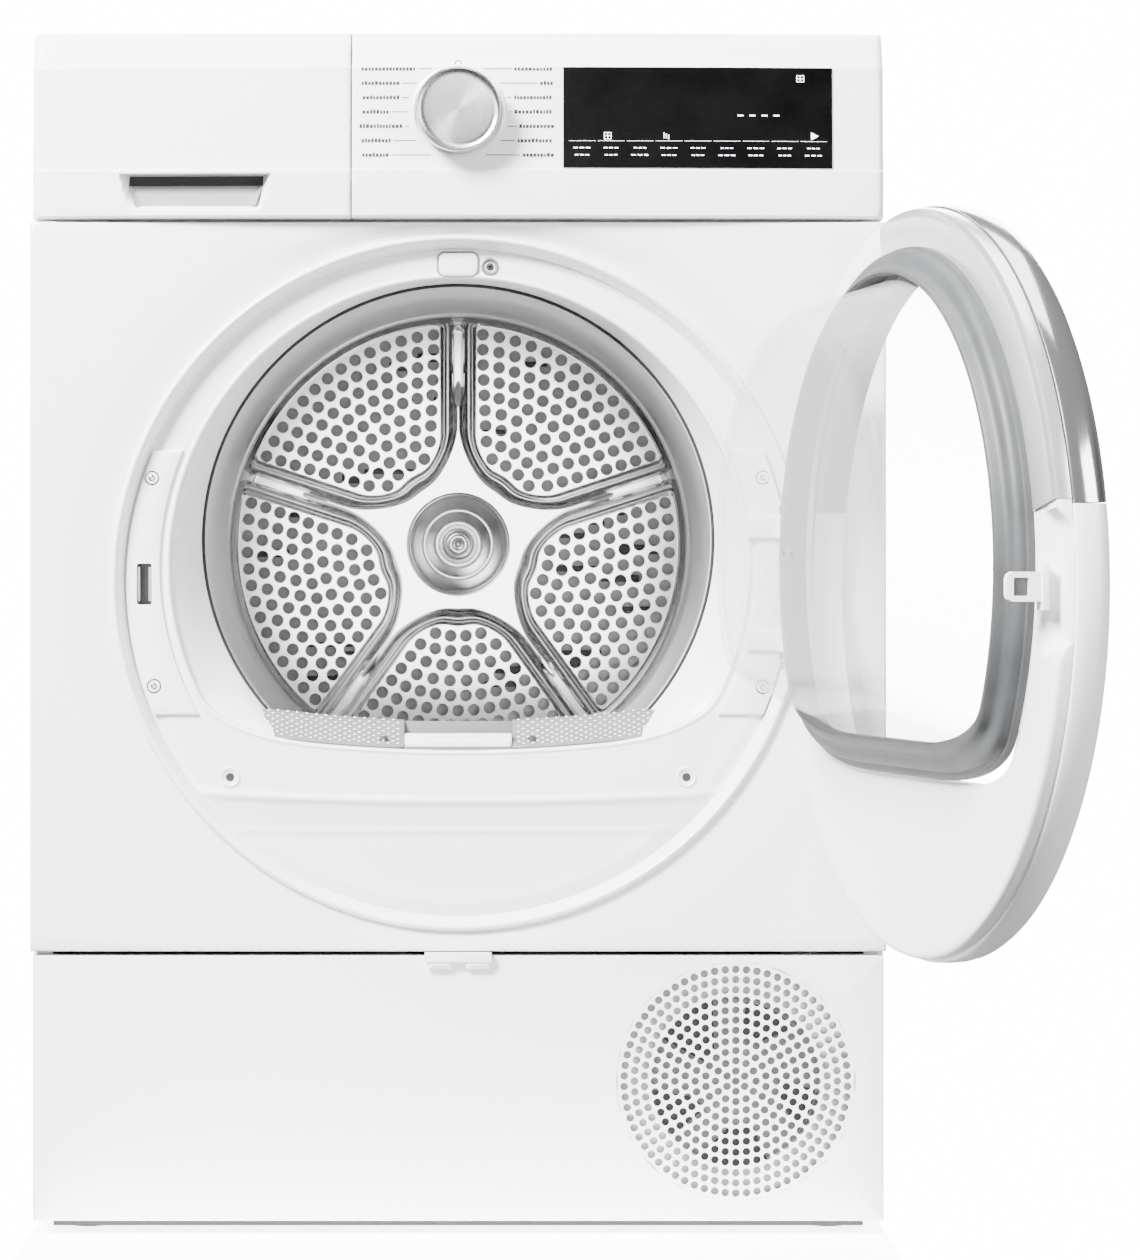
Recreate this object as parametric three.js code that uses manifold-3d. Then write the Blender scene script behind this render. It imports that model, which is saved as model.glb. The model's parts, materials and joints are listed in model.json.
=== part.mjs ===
// Front-loading heat-pump clothes dryer, 598 mm wide and 842 mm high, with its door swung open.
// Millimetres, +Z up, front towards -Y. Inside the machine group X is 0 on the cabinet's centre
// line and Y is 0 on the plane of the front panel; the group is then shifted so that the origin
// is the underside of the front left foot.
import * as THREE from 'three';
import { mergeVertices } from 'three/addons/utils/BufferGeometryUtils.js';
import Module from 'manifold-3d';

const wasm = await Module();
wasm.setup();

// ---- driving dimensions ----
const HALF_WIDTH = 299;
const HEIGHT = 842;
const DEPTH = 613;
const GAP = 0.3;
const SHEET = 1.2;

const FOOT = { x: 262, front: 55, rear: 545, padRadius: 18, padTop: 13.6, stem: 5, stemTop: 36 };
const TRAY = { half: 284, front: 14, rear: 580, low: 5, floor: 14, floorTop: 17, top: 60, wall: 3 };
const KICK = { half: 297.4, face: 2, low: 10, top: 195.5, lip: 12 };
const VENT = { x: 194, z: 107.6, radius: 81 };
const PANEL = { low: 198.5, top: 707.8, lip: 18 };
const PORTHOLE = { z: 456, radius: 238.4, flange: 1.4 };
const SURROUND = { front: 12, back: 14.5, radius: 237.8 };
const MOUTH = { z: 466.8, radius: 199.3, sill: 339 };
const THROAT = { radius: 180.5, end: 46, wall: 2.5 };
const WING = { front: 9.4, back: 11.7, inner: 200, outer: 233, reach: 92, z: 456 };
const LOCK = { x: -220, z: 455, slotHalfWidth: 5.5, slotHalfHeight: 14.5, back: 29.6 };

const DRUM = { z: 486, radius: 287, wall: 1.6, lip: 180, front: 56, back: 507, corner: 12 };
const STAR = { radius: 195, front: 500.5, back: 503, arms: 5, armWidth: 21, armHeight: 7 };
const HUB = { radius: 44, height: 15 };
const SHAFT = { radius: 12, end: 600 };
const LIFTER = { count: 3, height: 62, halfWidth: 34, front: 90, back: 470 };
const ROLLER = { radius: 18, angle: 35, bore: 4.5, front: 82, back: 100 };

const DRIVE = { x: -150, z: 115, shaft: 6, pulley: 9, belt: 463, beltWidth: 10, beltThick: 2.4 };
const MOTOR = { radius: 52, front: 340, back: 440 };
const IMPELLER = { radius: 66, front: 262, back: 322, blades: 9 };
const COMPRESSOR = { x: 190, y: 330, radius: 62, low: 62.5, top: 225 };
const COIL = { left: -278, right: -80, low: 61, top: 186 };
const EVAPORATOR = { front: 52, back: 130 };
const CONDENSER = { front: 146, back: 246 };
const PIPE = { radius: 5, steps: 22 };
const COOLER = { size: 118, front: 22, back: 47, opening: 56, hub: 22, blades: 7 };

const REAR = { front: 583.5, back: 585, hole: 200 };
const DUCT = { radius: 228, left: -215, right: -85, low: 52, front: 585.4, wall: 2.5 };
const BEARING = { inner: 12.5, outer: 24, front: 582, back: 604 };
const BULKHEAD = { front: 30, back: 32, half: 282, low: 205, top: 766, hole: 212, holeZ: 476 };
const WORKTOP = { half: 297, front: 45, rear: 586, low: 818 };

const FASCIA = { half: 297, low: 710, bow: 10, wall: 3, split: -74.5, rear: 44 };
const DISPLAY = { left: 73.1, right: 260.9, low: 744.7, top: 816.3 };
const KNOB = { z: 783.5, radius: 29.5, face: -30, base: -12.2, stem: 6 };
const GRIP = { left: -234, right: -123, low: 716, top: 742 };
const TANK = { left: -280, right: -84, front: 28, rear: 545, low: 771, top: 812, wall: 2 };

const FILTER = { half: 149, front: 19.5, back: 43.1, low: 228, sill: 338, crest: 356, wall: 2 };
const CHUTE = { half: 153, front: 16.5, back: 46.1, low: 206, top: 336, wall: 2 };

const HINGE = { x: 227.5, y: 2.9, pin: 2.2, low: 394.5, top: 517.5, openAngle: 105 };
const DOOR = { radius: 240.6, inner: -0.8, split: -10, outer: -36, hingeCut: 220.5 };
const BOWL = { mouthRadius: 191, endRadius: 150, depth: 84, wall: 3, sillMouth: 350, sillEnd: 392 };
const GASKET = { inner: 193, outer: 205, sill: 333, reach: 11.6 };
const RIM = { inner: 204.5, radius: 242.5 };
const TRIM = { lowAngle: 11.5 };
const HOOK = { reach: 25.5, halfHeight: 8.8, halfWidth: 2.5 };

const FINE = 48;
const ROUND = 28;
const SMALL = 14;

// ---- materials ----
function finish(color, roughness, metalness = 0, extra = {}) {
  return new THREE.MeshStandardMaterial({ color, roughness, metalness, ...extra });
}
const clear = { transparent: true, opacity: 0.3 };
const MATERIALS = {
  enamel: finish(0xf3f3f4, 0.35),
  plastic: finish(0xf0f0f1, 0.5),
  fasciaWhite: finish(0xf4f4f5, 0.42),
  silver: finish(0xc9cacc, 0.28, 0.6),
  steel: finish(0xc4c6c8, 0.3, 0.95),
  polished: finish(0xd8dadc, 0.16, 1),
  galvanised: finish(0xa9adb0, 0.5, 0.8),
  aluminium: finish(0xb9bcbf, 0.42, 0.9),
  copper: finish(0xb87442, 0.35, 0.95),
  darkGlass: finish(0x16171a, 0.12),
  glass: finish(0xeef3f4, 0.05, 0, clear),
  rubber: finish(0x8b8d8f, 0.75),
  blackRubber: finish(0x26272a, 0.8),
  felt: finish(0x3a3c3f, 0.95),
  greyPlastic: finish(0xc7c9cb, 0.6),
  darkPlastic: finish(0x3c3f43, 0.6),
  tankPlastic: finish(0xe2e8ea, 0.3),
};

// ---- geometry helpers ----
function signedVolume(geometry) {
  const p = geometry.getAttribute('position');
  const index = geometry.index;
  const corner = [new THREE.Vector3(), new THREE.Vector3(), new THREE.Vector3()];
  let sum = 0;
  for (let i = 0; i < index.count; i += 3) {
    corner.forEach((v, k) => v.fromBufferAttribute(p, index.getX(i + k)));
    sum += corner[0].dot(corner[1].clone().cross(corner[2])) / 6;
  }
  return sum;
}

// A closed solid from any closed geometry, with its faces turned outwards.
function solid(geometry) {
  const bare = geometry.clone();
  bare.deleteAttribute('normal');
  bare.deleteAttribute('uv');
  const welded = mergeVertices(bare, 1e-4);
  const triangles = Uint32Array.from(welded.index.array);
  if (signedVolume(welded) < 0) {
    for (let i = 0; i < triangles.length; i += 3) {
      [triangles[i + 1], triangles[i + 2]] = [triangles[i + 2], triangles[i + 1]];
    }
  }
  const vertProperties = Float32Array.from(welded.getAttribute('position').array);
  const kept = [];
  for (let i = 0; i < triangles.length; i += 3) {
    const [a, b, c] = triangles.slice(i, i + 3);
    if (a !== b && b !== c && a !== c) kept.push(a, b, c);
  }
  const mesh = new wasm.Mesh({ numProp: 3, vertProperties, triVerts: Uint32Array.from(kept) });
  return new wasm.Manifold(mesh);
}

const join = (...solids) => solids.reduce((whole, next) => whole.add(next));
const cut = (whole, ...tools) => tools.reduce((left, tool) => left.subtract(tool), whole);

function geometryOf(body) {
  const mesh = body.getMesh();
  const geometry = new THREE.BufferGeometry();
  geometry.setAttribute('position', new THREE.BufferAttribute(Float32Array.from(mesh.vertProperties), 3));
  geometry.setIndex(new THREE.BufferAttribute(Uint32Array.from(mesh.triVerts), 1));
  geometry.computeVertexNormals();
  return geometry;
}

function slab(x0, x1, y0, y1, z0, z1) {
  const box = new THREE.BoxGeometry(x1 - x0, y1 - y0, z1 - z0);
  return solid(box.translate((x0 + x1) / 2, (y0 + y1) / 2, (z0 + z1) / 2));
}

const outline = (points) => new THREE.Shape(points.map(([x, y]) => new THREE.Vector2(x, y)));

// An outline in X and Z, made thick along Y.
function prismY(shape, y0, y1, curveSegments = ROUND) {
  const geometry = new THREE.ExtrudeGeometry(shape, { depth: y1 - y0, bevelEnabled: false, curveSegments });
  return solid(geometry.rotateX(Math.PI / 2).translate(0, y1, 0));
}

// An outline in Y and Z, made thick along X.
function prismX(points, x0, x1, steps = 1) {
  const geometry = new THREE.ExtrudeGeometry(outline(points), { depth: x1 - x0, steps, bevelEnabled: false });
  const axes = [new THREE.Vector3(0, 1, 0), new THREE.Vector3(0, 0, 1), new THREE.Vector3(1, 0, 0)];
  return geometry.applyMatrix4(new THREE.Matrix4().makeBasis(...axes)).translate(x0, 0, 0);
}

// An outline in X and Y, made thick along Z.
function prismZ(points, z0, z1) {
  const geometry = new THREE.ExtrudeGeometry(outline(points), { depth: z1 - z0, bevelEnabled: false });
  return solid(geometry.translate(0, 0, z0));
}

// A body turned about an axis along Y, from its closed profile of [radius, y] points.
function turned(profile, x, z, segments = FINE) {
  const points = profile.map(([r, y]) => new THREE.Vector2(r, y));
  return solid(new THREE.LatheGeometry(points, segments).translate(x, 0, z));
}

function disc(x, z, radius, y0, y1, segments = ROUND) {
  const geometry = new THREE.CylinderGeometry(radius, radius, y1 - y0, segments);
  return solid(geometry.translate(x, (y0 + y1) / 2, z));
}

function post(x, y, radius, z0, z1, segments = SMALL) {
  const geometry = new THREE.CylinderGeometry(radius, radius, z1 - z0, segments);
  return solid(geometry.rotateX(Math.PI / 2).translate(x, y, (z0 + z1) / 2));
}

const ringY = (x, z, inner, outer, y0, y1, segments = FINE) =>
  turned([[inner, y0], [outer, y0], [outer, y1], [inner, y1], [inner, y0]], x, z, segments);

// A cone along Y whose two ends have their own centre heights.
function leaningCone(front, back, segments = FINE) {
  const length = back.y - front.y;
  const geometry = new THREE.CylinderGeometry(back.radius, front.radius, length, segments);
  const p = geometry.getAttribute('position');
  for (let i = 0; i < p.count; i += 1) {
    const share = p.getY(i) / length + 0.5;
    p.setZ(i, p.getZ(i) + front.z + (back.z - front.z) * share);
    p.setY(i, front.y + length * share);
  }
  return solid(geometry);
}

const turnAboutY = (body, degrees, x, z) =>
  body.translate([-x, 0, -z]).rotate([0, degrees, 0]).translate([x, 0, z]);

// ---- cabinet ----
function foot(x, y) {
  const profile = [
    [0, 0], [FOOT.padRadius, 0], [FOOT.padRadius, 7], [11, FOOT.padTop],
    [FOOT.stem, FOOT.padTop], [FOOT.stem, FOOT.stemTop], [0, FOOT.stemTop],
  ];
  const points = profile.map(([r, h]) => new THREE.Vector2(r, h));
  const geometry = new THREE.LatheGeometry(points, SMALL).rotateX(Math.PI / 2).translate(x, y, 0);
  return solid(geometry);
}

function footPlaces() {
  const places = {};
  for (const [side, x] of [['left', -FOOT.x], ['right', FOOT.x]]) {
    places[`foot_front_${side}`] = [x, FOOT.front];
    places[`foot_rear_${side}`] = [x, FOOT.rear];
  }
  return places;
}

function baseTray() {
  const { half, front, rear, low, floor, floorTop, top, wall } = TRAY;
  let tray = slab(-half, half, front, rear, low, top);
  tray = cut(tray, slab(-half + wall, half - wall, front + wall, rear - wall, floorTop, top + 1));
  tray = cut(tray, slab(-half + wall, half - wall, front + wall, rear - wall, low - 1, floor));
  for (const [x, y] of Object.values(footPlaces())) {
    tray = join(tray, post(x, y, 12, floorTop - 1, 42));
    tray = cut(tray, post(x, y, FOOT.stem + 0.6, low, 43));
  }
  return tray;
}

function sidePanel(sign) {
  const outer = HALF_WIDTH;
  const inner = outer - SHEET;
  const lip = outer - 14.5;
  const front = 20.6;
  const rear = 586.6;
  const section = [
    [outer, front], [outer, rear], [lip, rear], [lip, rear - SHEET],
    [inner, rear - SHEET], [inner, front + SHEET], [lip, front + SHEET], [lip, front],
  ];
  const panel = prismZ(section.map(([x, y]) => [sign * x, y]), 10, WORKTOP.low - GAP);
  return cut(panel, slab(-300, 300, 0, FASCIA.rear + GAP, FASCIA.low - GAP, HEIGHT));
}

function worktop() {
  const { front, rear, low, half } = WORKTOP;
  const edge = 3;
  const section = [
    [front, low], [rear, low], [rear, HEIGHT - edge], [rear - edge, HEIGHT],
    [front + edge, HEIGHT], [front, HEIGHT - edge],
  ];
  return solid(prismX(section, -half, half));
}

function frontPanel() {
  const { low, top, lip } = PANEL;
  const inside = HALF_WIDTH - SHEET;
  let panel = slab(-HALF_WIDTH, HALF_WIDTH, 0, lip, low, top);
  panel = cut(panel, slab(-inside, inside, SHEET, lip + 1, low + SHEET, top - SHEET));
  panel = cut(panel, disc(0, PORTHOLE.z, PORTHOLE.radius, -1, 3, FINE));
  const { radius, flange } = PORTHOLE;
  return join(panel, ringY(0, PORTHOLE.z, radius, radius + flange, 0, SURROUND.back + 1.5));
}

function kickPanel() {
  const { half, face, low, top, lip } = KICK;
  let panel = slab(-half, half, face, face + lip, low, top);
  panel = cut(panel, slab(-half + SHEET, half - SHEET, face + SHEET, face + lip + 1, low + SHEET, top - SHEET));
  return join(panel, ringY(VENT.x, VENT.z, VENT.radius - 3, VENT.radius, face, face + 5, ROUND));
}

function kickClip() {
  const body = slab(-23.5, 23.5, -4, KICK.face - GAP, 189.5, 198);
  const lips = [slab(-21.5, -5, -2.5, KICK.face - GAP, 186.5, 190), slab(5, 21.5, -2.5, KICK.face - GAP, 186.5, 190)];
  return join(body, ...lips);
}

function rearPanel() {
  const plate = slab(-297, 297, REAR.front, REAR.back, 61, WORKTOP.low - GAP);
  const neck = slab(DUCT.left + 12, DUCT.right - 12, REAR.front - 1, REAR.back + 1, 70, 220);
  return cut(plate, disc(0, DRUM.z, REAR.hole, REAR.front - 1, REAR.back + 1, FINE), neck);
}

function ductOutline(inset, y0, y1) {
  const { radius, left, right, low } = DUCT;
  const round = disc(0, DRUM.z, radius - inset, y0, y1, FINE);
  return join(round, slab(left + inset, right - inset, y0, y1, low + inset, DRUM.z - 80));
}

function rearDuctCover() {
  const shell = cut(ductOutline(0, DUCT.front, DEPTH), ductOutline(DUCT.wall, DUCT.front - 1, DEPTH - DUCT.wall));
  const seat = ringY(0, DRUM.z, BEARING.outer + GAP, BEARING.outer + 5, BEARING.front, DEPTH - 1, ROUND);
  return join(shell, seat);
}

function frontBulkhead() {
  const { front, back, half, low, top, hole, holeZ } = BULKHEAD;
  let plate = slab(-half, half, front, back, low, top);
  plate = cut(plate, disc(0, holeZ, hole, front - 1, back + 1, FINE));
  plate = cut(plate, slab(-CHUTE.half - 2, CHUTE.half + 2, front - 1, back + 1, low - 1, 360));
  for (const [x, z] of rollerPlaces()) {
    plate = join(plate, disc(x, z, ROLLER.bore - 0.5, back - 1, ROLLER.back + 4, SMALL));
  }
  return plate;
}

// ---- drum ----
function drumShell() {
  const { radius, wall, front, back, corner } = DRUM;
  const inner = radius - wall;
  const profile = [
    [radius, front + 9 + corner], [radius, back - corner], [radius - corner, back], [STAR.radius - 6, back],
    [STAR.radius - 6, back - wall], [inner - corner, back - wall], [inner, back - wall - corner], [inner, front + 9 + corner],
    [radius, front + 9 + corner],
  ];
  return turned(profile, 0, DRUM.z);
}

function drumFront() {
  const { radius, wall, lip, front, corner } = DRUM;
  const inner = radius - wall;
  const profile = [
    [lip, front], [lip + 45, front + 2], [radius - corner, front + 9], [radius, front + 9 + corner],
    [inner, front + 9 + corner], [inner - corner, front + 10.5], [lip + 45, front + 3.8], [lip, front + 1.8], [lip, front],
  ];
  return turned(profile, 0, DRUM.z);
}

// The rear wall with its pressed star, welded to the shaft that carries the drum.
function drumBack() {
  const { radius, front, back, arms, armWidth, armHeight } = STAR;
  let plate = disc(0, DRUM.z, radius, front, back, FINE);
  plate = join(plate, disc(0, DRUM.z, 66, front - armHeight, front + 1, ROUND));
  for (let i = 0; i < arms; i += 1) {
    const arm = slab(-armWidth / 2, armWidth / 2, front - armHeight, front + 1, DRUM.z + 50, DRUM.z + 182);
    plate = join(plate, turnAboutY(arm, (i * 360) / arms, 0, DRUM.z));
  }
  return join(plate, disc(0, DRUM.z, SHAFT.radius, front, SHAFT.end, SMALL));
}

function drumHub() {
  const base = STAR.front - STAR.armHeight - GAP;
  const { radius, height } = HUB;
  const profile = [
    [0, base], [radius, base], [radius, base - 4], [radius - 12, base - height + 3],
    [radius - 26, base - height], [9, base - height + 4], [0, base - height + 4],
  ];
  return turned(profile, 0, DRUM.z, ROUND);
}

function lifter(index) {
  const reach = DRUM.radius - DRUM.wall - GAP;
  const shape = outline([
    [-LIFTER.halfWidth, reach - 6], [-12, reach - LIFTER.height], [12, reach - LIFTER.height],
    [LIFTER.halfWidth, reach - 6], [LIFTER.halfWidth - 8, reach - 2.8], [-LIFTER.halfWidth + 8, reach - 2.8],
  ]);
  const body = prismY(shape, LIFTER.front, LIFTER.back).translate([0, 0, DRUM.z]);
  return turnAboutY(body, 60 + (index * 360) / LIFTER.count, 0, DRUM.z);
}

function rollerPlaces() {
  const reach = DRUM.radius + ROLLER.radius + 0.4;
  const tilt = THREE.MathUtils.degToRad(ROLLER.angle);
  return [-1, 1].map((side) => [side * reach * Math.sin(tilt), DRUM.z - reach * Math.cos(tilt)]);
}

function supportRoller([x, z]) {
  const { radius, bore, front, back } = ROLLER;
  return ringY(x, z, bore, radius, front, back, SMALL);
}

// ---- drive ----
function beltLoop(drumRadius, pulleyRadius, y0, y1) {
  const dx = DRIVE.x;
  const dz = DRIVE.z - DRUM.z;
  const direction = Math.atan2(dz, dx);
  const lean = Math.acos((drumRadius - pulleyRadius) / Math.hypot(dx, dz));
  const shape = new THREE.Shape();
  shape.absarc(0, DRUM.z, drumRadius, direction + lean, direction - lean + 2 * Math.PI, false);
  shape.absarc(DRIVE.x, DRIVE.z, pulleyRadius, direction - lean, direction + lean, false);
  return prismY(shape, y0, y1, 22);
}

function driveBelt() {
  const y0 = DRIVE.belt - DRIVE.beltWidth / 2;
  const y1 = DRIVE.belt + DRIVE.beltWidth / 2;
  const slack = 1.2;
  const inner = [DRUM.radius + slack, DRIVE.pulley + 0.5];
  const outer = inner.map((radius) => radius + DRIVE.beltThick);
  return cut(beltLoop(...outer, y0, y1), beltLoop(...inner, y0 - 1, y1 + 1));
}

function driveMotor() {
  const { radius, front, back } = MOTOR;
  const body = disc(DRIVE.x, DRIVE.z, radius, front, back, ROUND);
  const stand = slab(DRIVE.x - 34, DRIVE.x + 34, front + 10, back - 10, TRAY.floorTop + GAP, DRIVE.z - 20);
  return cut(join(body, stand), disc(DRIVE.x, DRIVE.z, DRIVE.shaft + 0.5, front - 1, back + 1, SMALL));
}

// The pulley is turned in one piece with the shaft.
function motorShaft() {
  const pulley = disc(DRIVE.x, DRIVE.z, DRIVE.pulley, DRIVE.belt - 7, DRIVE.belt + 7, SMALL);
  return join(disc(DRIVE.x, DRIVE.z, DRIVE.shaft, 256, 474, SMALL), pulley);
}

function processFan() {
  const { radius, front, back, blades } = IMPELLER;
  let wheel = disc(DRIVE.x, DRIVE.z, radius, back - 3, back, ROUND);
  wheel = join(wheel, disc(DRIVE.x, DRIVE.z, 14, front, back - 1, SMALL));
  wheel = join(wheel, ringY(DRIVE.x, DRIVE.z, radius - 16, radius, front, front + 3, ROUND));
  for (let i = 0; i < blades; i += 1) {
    const blade = slab(DRIVE.x - 1, DRIVE.x + 1, front, back - 1, DRIVE.z + 44, DRIVE.z + radius - 1.5);
    wheel = join(wheel, turnAboutY(blade, (i * 360) / blades, DRIVE.x, DRIVE.z));
  }
  return cut(wheel, disc(DRIVE.x, DRIVE.z, DRIVE.shaft + GAP, front - 1, back + 1, SMALL));
}

// ---- heat pump ----
function coil({ front, back }) {
  const { left, right, low, top } = COIL;
  const fins = 9;
  let block = slab(left, right, front, back, low, top);
  for (let i = 1; i < fins; i += 1) {
    const x = left + ((right - left) * i) / fins;
    block = cut(block, slab(x - 2.5, x + 2.5, front - 1, back + 1, low + 12, top - 8));
  }
  return block;
}

function compressor() {
  const { x, y, radius, low, top } = COMPRESSOR;
  const profile = [
    [0, low - 42], [radius + 8, low - 42], [radius + 8, low - 36], [radius, low - 36], [radius, top - 24],
    [radius - 14, top - 8], [radius - 38, top], [0, top],
  ];
  const points = profile.map(([r, h]) => new THREE.Vector2(r, h));
  return solid(new THREE.LatheGeometry(points, ROUND).rotateX(Math.PI / 2).translate(x, y, 0));
}

function pipe(points) {
  const path = new THREE.CatmullRomCurve3(points.map((p) => new THREE.Vector3(...p)));
  const section = new THREE.Shape();
  section.absarc(0, 0, PIPE.radius, 0, 2 * Math.PI, false);
  const options = { steps: PIPE.steps, extrudePath: path, bevelEnabled: false, curveSegments: 4 };
  return solid(new THREE.ExtrudeGeometry(section, options));
}

// The discharge and the suction line between the compressor and the heat exchangers, held by one bracket.
const refrigerantPipes = () => join(
  slab(86, 91, 266, 322, 92, 152),
  pipe([[127, 326, 150], [90, 318, 150], [40, 280, 146], [-20, 225, 134], [-55, 205, 130], [-78.6, 200, 130]]),
  pipe([[134, 300, 96], [90, 270, 94], [50, 190, 90], [10, 115, 96], [-40, 92, 100], [-78.6, 90, 100]]),
);

// ---- cooling fan behind the vent ----
function coolingFanFrame() {
  const { size, front, back, opening } = COOLER;
  const half = size / 2;
  let frame = slab(VENT.x - half, VENT.x + half, front, back, VENT.z - half, VENT.z + half);
  frame = cut(frame, disc(VENT.x, VENT.z, opening, front - 1, back + 1, ROUND));
  for (const angle of [45, 165, 285]) {
    const strut = slab(VENT.x - 3, VENT.x + 3, back - 4, back, VENT.z, VENT.z + opening + 1);
    frame = join(frame, turnAboutY(strut, angle, VENT.x, VENT.z));
  }
  return frame;
}

function coolingFanRotor() {
  const { front, hub, blades, opening } = COOLER;
  const middle = front + 11;
  let rotor = disc(VENT.x, VENT.z, hub, front + 1, front + 20, ROUND);
  for (let i = 0; i < blades; i += 1) {
    const blade = slab(-13, 13, -1.2, 1.2, 0, opening - hub);
    const set = blade.rotate([0, 0, 28]).translate([VENT.x, middle, VENT.z + hub - 2]);
    rotor = join(rotor, turnAboutY(set, (i * 360) / blades, VENT.x, VENT.z));
  }
  return rotor;
}

// ---- fascia: control panel and water-tank drawer ----
const fasciaFace = [[0, 710], [-1.5, 744.5], [2, 816.3], [12, 838], [16, 841.5]];

// Pushes the middle of the fascia forwards, less and less towards its rear edge.
function bowed(geometry) {
  const p = geometry.getAttribute('position');
  for (let i = 0; i < p.count; i += 1) {
    const across = 1 - (p.getX(i) / FASCIA.half) ** 2;
    const depth = THREE.MathUtils.clamp((FASCIA.rear - p.getY(i)) / FASCIA.rear, 0, 1);
    p.setY(i, p.getY(i) - FASCIA.bow * across * depth);
  }
  return solid(geometry);
}

function fasciaShell(x0, x1) {
  const { rear, wall, low } = FASCIA;
  const inside = [
    [rear, HEIGHT - 0.5 - wall], [17, HEIGHT - 0.5 - wall], [14.6, 836.4], [5, 815.6], [1.5, 744.5],
    [3, low + wall], [22, low + wall], [22, low],
  ];
  const skin = [...fasciaFace, [rear, HEIGHT - 0.5], ...inside];
  const cheek = [...fasciaFace, [rear, HEIGHT - 0.5], [rear, 800], [22, 740], [22, low]];
  const steps = 10;
  const shell = bowed(prismX(skin, x0, x1, steps));
  return join(shell, bowed(prismX(cheek, x0, x0 + 2.5)), bowed(prismX(cheek, x1 - 2.5, x1)));
}

function controlPanel() {
  const panel = fasciaShell(FASCIA.split + 0.5, FASCIA.half);
  const window = slab(DISPLAY.left, DISPLAY.right, -30, 9, DISPLAY.low, DISPLAY.top);
  return cut(panel, window, disc(0, KNOB.z, KNOB.stem + 1, -30, 9, SMALL));
}

function displayWindow() {
  const edge = 0.4;
  const low = DISPLAY.low + edge;
  const top = DISPLAY.top - edge;
  const section = [[-1.4, low], [2, top], [4.6, top], [1.2, low]];
  return bowed(prismX(section, DISPLAY.left + edge, DISPLAY.right - edge, 6));
}

function programKnob() {
  const { radius, face, base, stem, z } = KNOB;
  const profile = [
    [0, face + 3], [radius - 6, face + 1.5], [radius - 3, face], [radius - 1, face + 1],
    [radius, base - 2], [radius, base], [stem, base], [stem, 12], [0, 12],
  ];
  return turned(profile, 0, z, ROUND);
}

function controlModule() {
  const selector = slab(-17, 17, 6, 24, KNOB.z - 17, KNOB.z + 17);
  const board = join(slab(15, 272, 20, 24, 722, 806), slab(60, 264, 12, 21, 740, 802));
  return cut(join(selector, board), disc(0, KNOB.z, KNOB.stem + 0.5, 5, 14, SMALL));
}

function drawerFront() {
  const { left, right, low, top } = GRIP;
  let front = fasciaShell(-FASCIA.half, FASCIA.split - 0.5);
  front = join(front, slab(left - 2, right + 2, -4, 20, low - 2, top + 2));
  const scoop = outline([[left, top], [right, top], [right - 10, low + 6], [right - 22, low], [left + 22, low], [left + 10, low + 6]]);
  return cut(front, prismY(scoop, -30, 17));
}

function tankBody() {
  const { left, right, front, rear, low, top, wall } = TANK;
  const outer = slab(left, right, front, rear, low, top);
  return cut(outer, slab(left + wall, right - wall, front + wall, rear - wall, low + wall, top + 1));
}

function tankLid() {
  const { left, right, front, rear, top } = TANK;
  const lid = slab(left, right, front, rear, top + GAP, top + 3);
  const fill = slab(left + 60, right - 60, rear - 70, rear - 20, top, top + 4);
  return cut(lid, fill, post(right - 28, front + 40, 14, top, top + 4));
}

// ---- door opening ----
function doorSurround() {
  const { front, back, radius } = SURROUND;
  const end = { y: THROAT.end, z: DRUM.z };
  const skin = leaningCone(
    { y: front, z: MOUTH.z, radius: MOUTH.radius + THROAT.wall },
    { ...end, radius: THROAT.radius + THROAT.wall },
  );
  const hollow = leaningCone(
    { y: front - 1, z: MOUTH.z - 0.6, radius: MOUTH.radius + 0.6 },
    { y: end.y + 1, z: DRUM.z + 0.6, radius: THROAT.radius - 0.6 },
  );
  const sillCut = slab(-CHUTE.half - 1, CHUTE.half + 1, back + 0.8, end.y + 1, 200, 384);
  const apron = slab(-250, 250, front, back, 200, MOUTH.sill);
  const face = cut(disc(0, PORTHOLE.z, radius, front, back, FINE), hollow);
  const plate = join(face, apron.intersect(disc(0, PORTHOLE.z, radius, front, back, FINE)));
  const above = slab(-260, 260, front - 2, end.y + 2, MOUTH.sill, 720);
  const throat = cut(skin, hollow, sillCut).intersect(above);
  const { x, z, slotHalfWidth: w, slotHalfHeight: h } = LOCK;
  return cut(join(plate, throat), slab(x - w - 2.5, x + w + 2.5, front - 1, back + 1, z - h - 4, z + h + 4));
}

// A wing-shaped plate beside the opening; sign -1 is the lock side and +1 the hinge side.
function wingPlate(sign) {
  const { front, back, inner, outer, reach, z } = WING;
  const ring = cut(disc(0, PORTHOLE.z, outer, front, back, FINE), disc(0, MOUTH.z, inner + 4, front - 1, back + 1, FINE));
  const band = sign < 0 ? slab(-250, -180, front, back, z - reach, z + reach) : slab(180, 250, front, back, z - reach, z + reach);
  return ring.intersect(band);
}

function lockPlate() {
  const { x, z, slotHalfWidth: w, slotHalfHeight: h } = LOCK;
  return cut(wingPlate(-1), slab(x - w, x + w, WING.front - 1, WING.back + 1, z - h, z + h));
}

function doorLock() {
  const { x, z, slotHalfWidth: w, slotHalfHeight: h, back } = LOCK;
  const body = slab(x - w - 4, x + w + 4, SURROUND.back + GAP, back, z - h - 5, z + h + 5);
  return cut(body, slab(x - w, x + w, SURROUND.back, back - 1.5, z - h, z + h));
}

const lugSpans = [[486.4, 503.7], [407.6, 423.5]];
const knuckleSpans = [[504, 509.8], [401.5, 407.3]];

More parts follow.
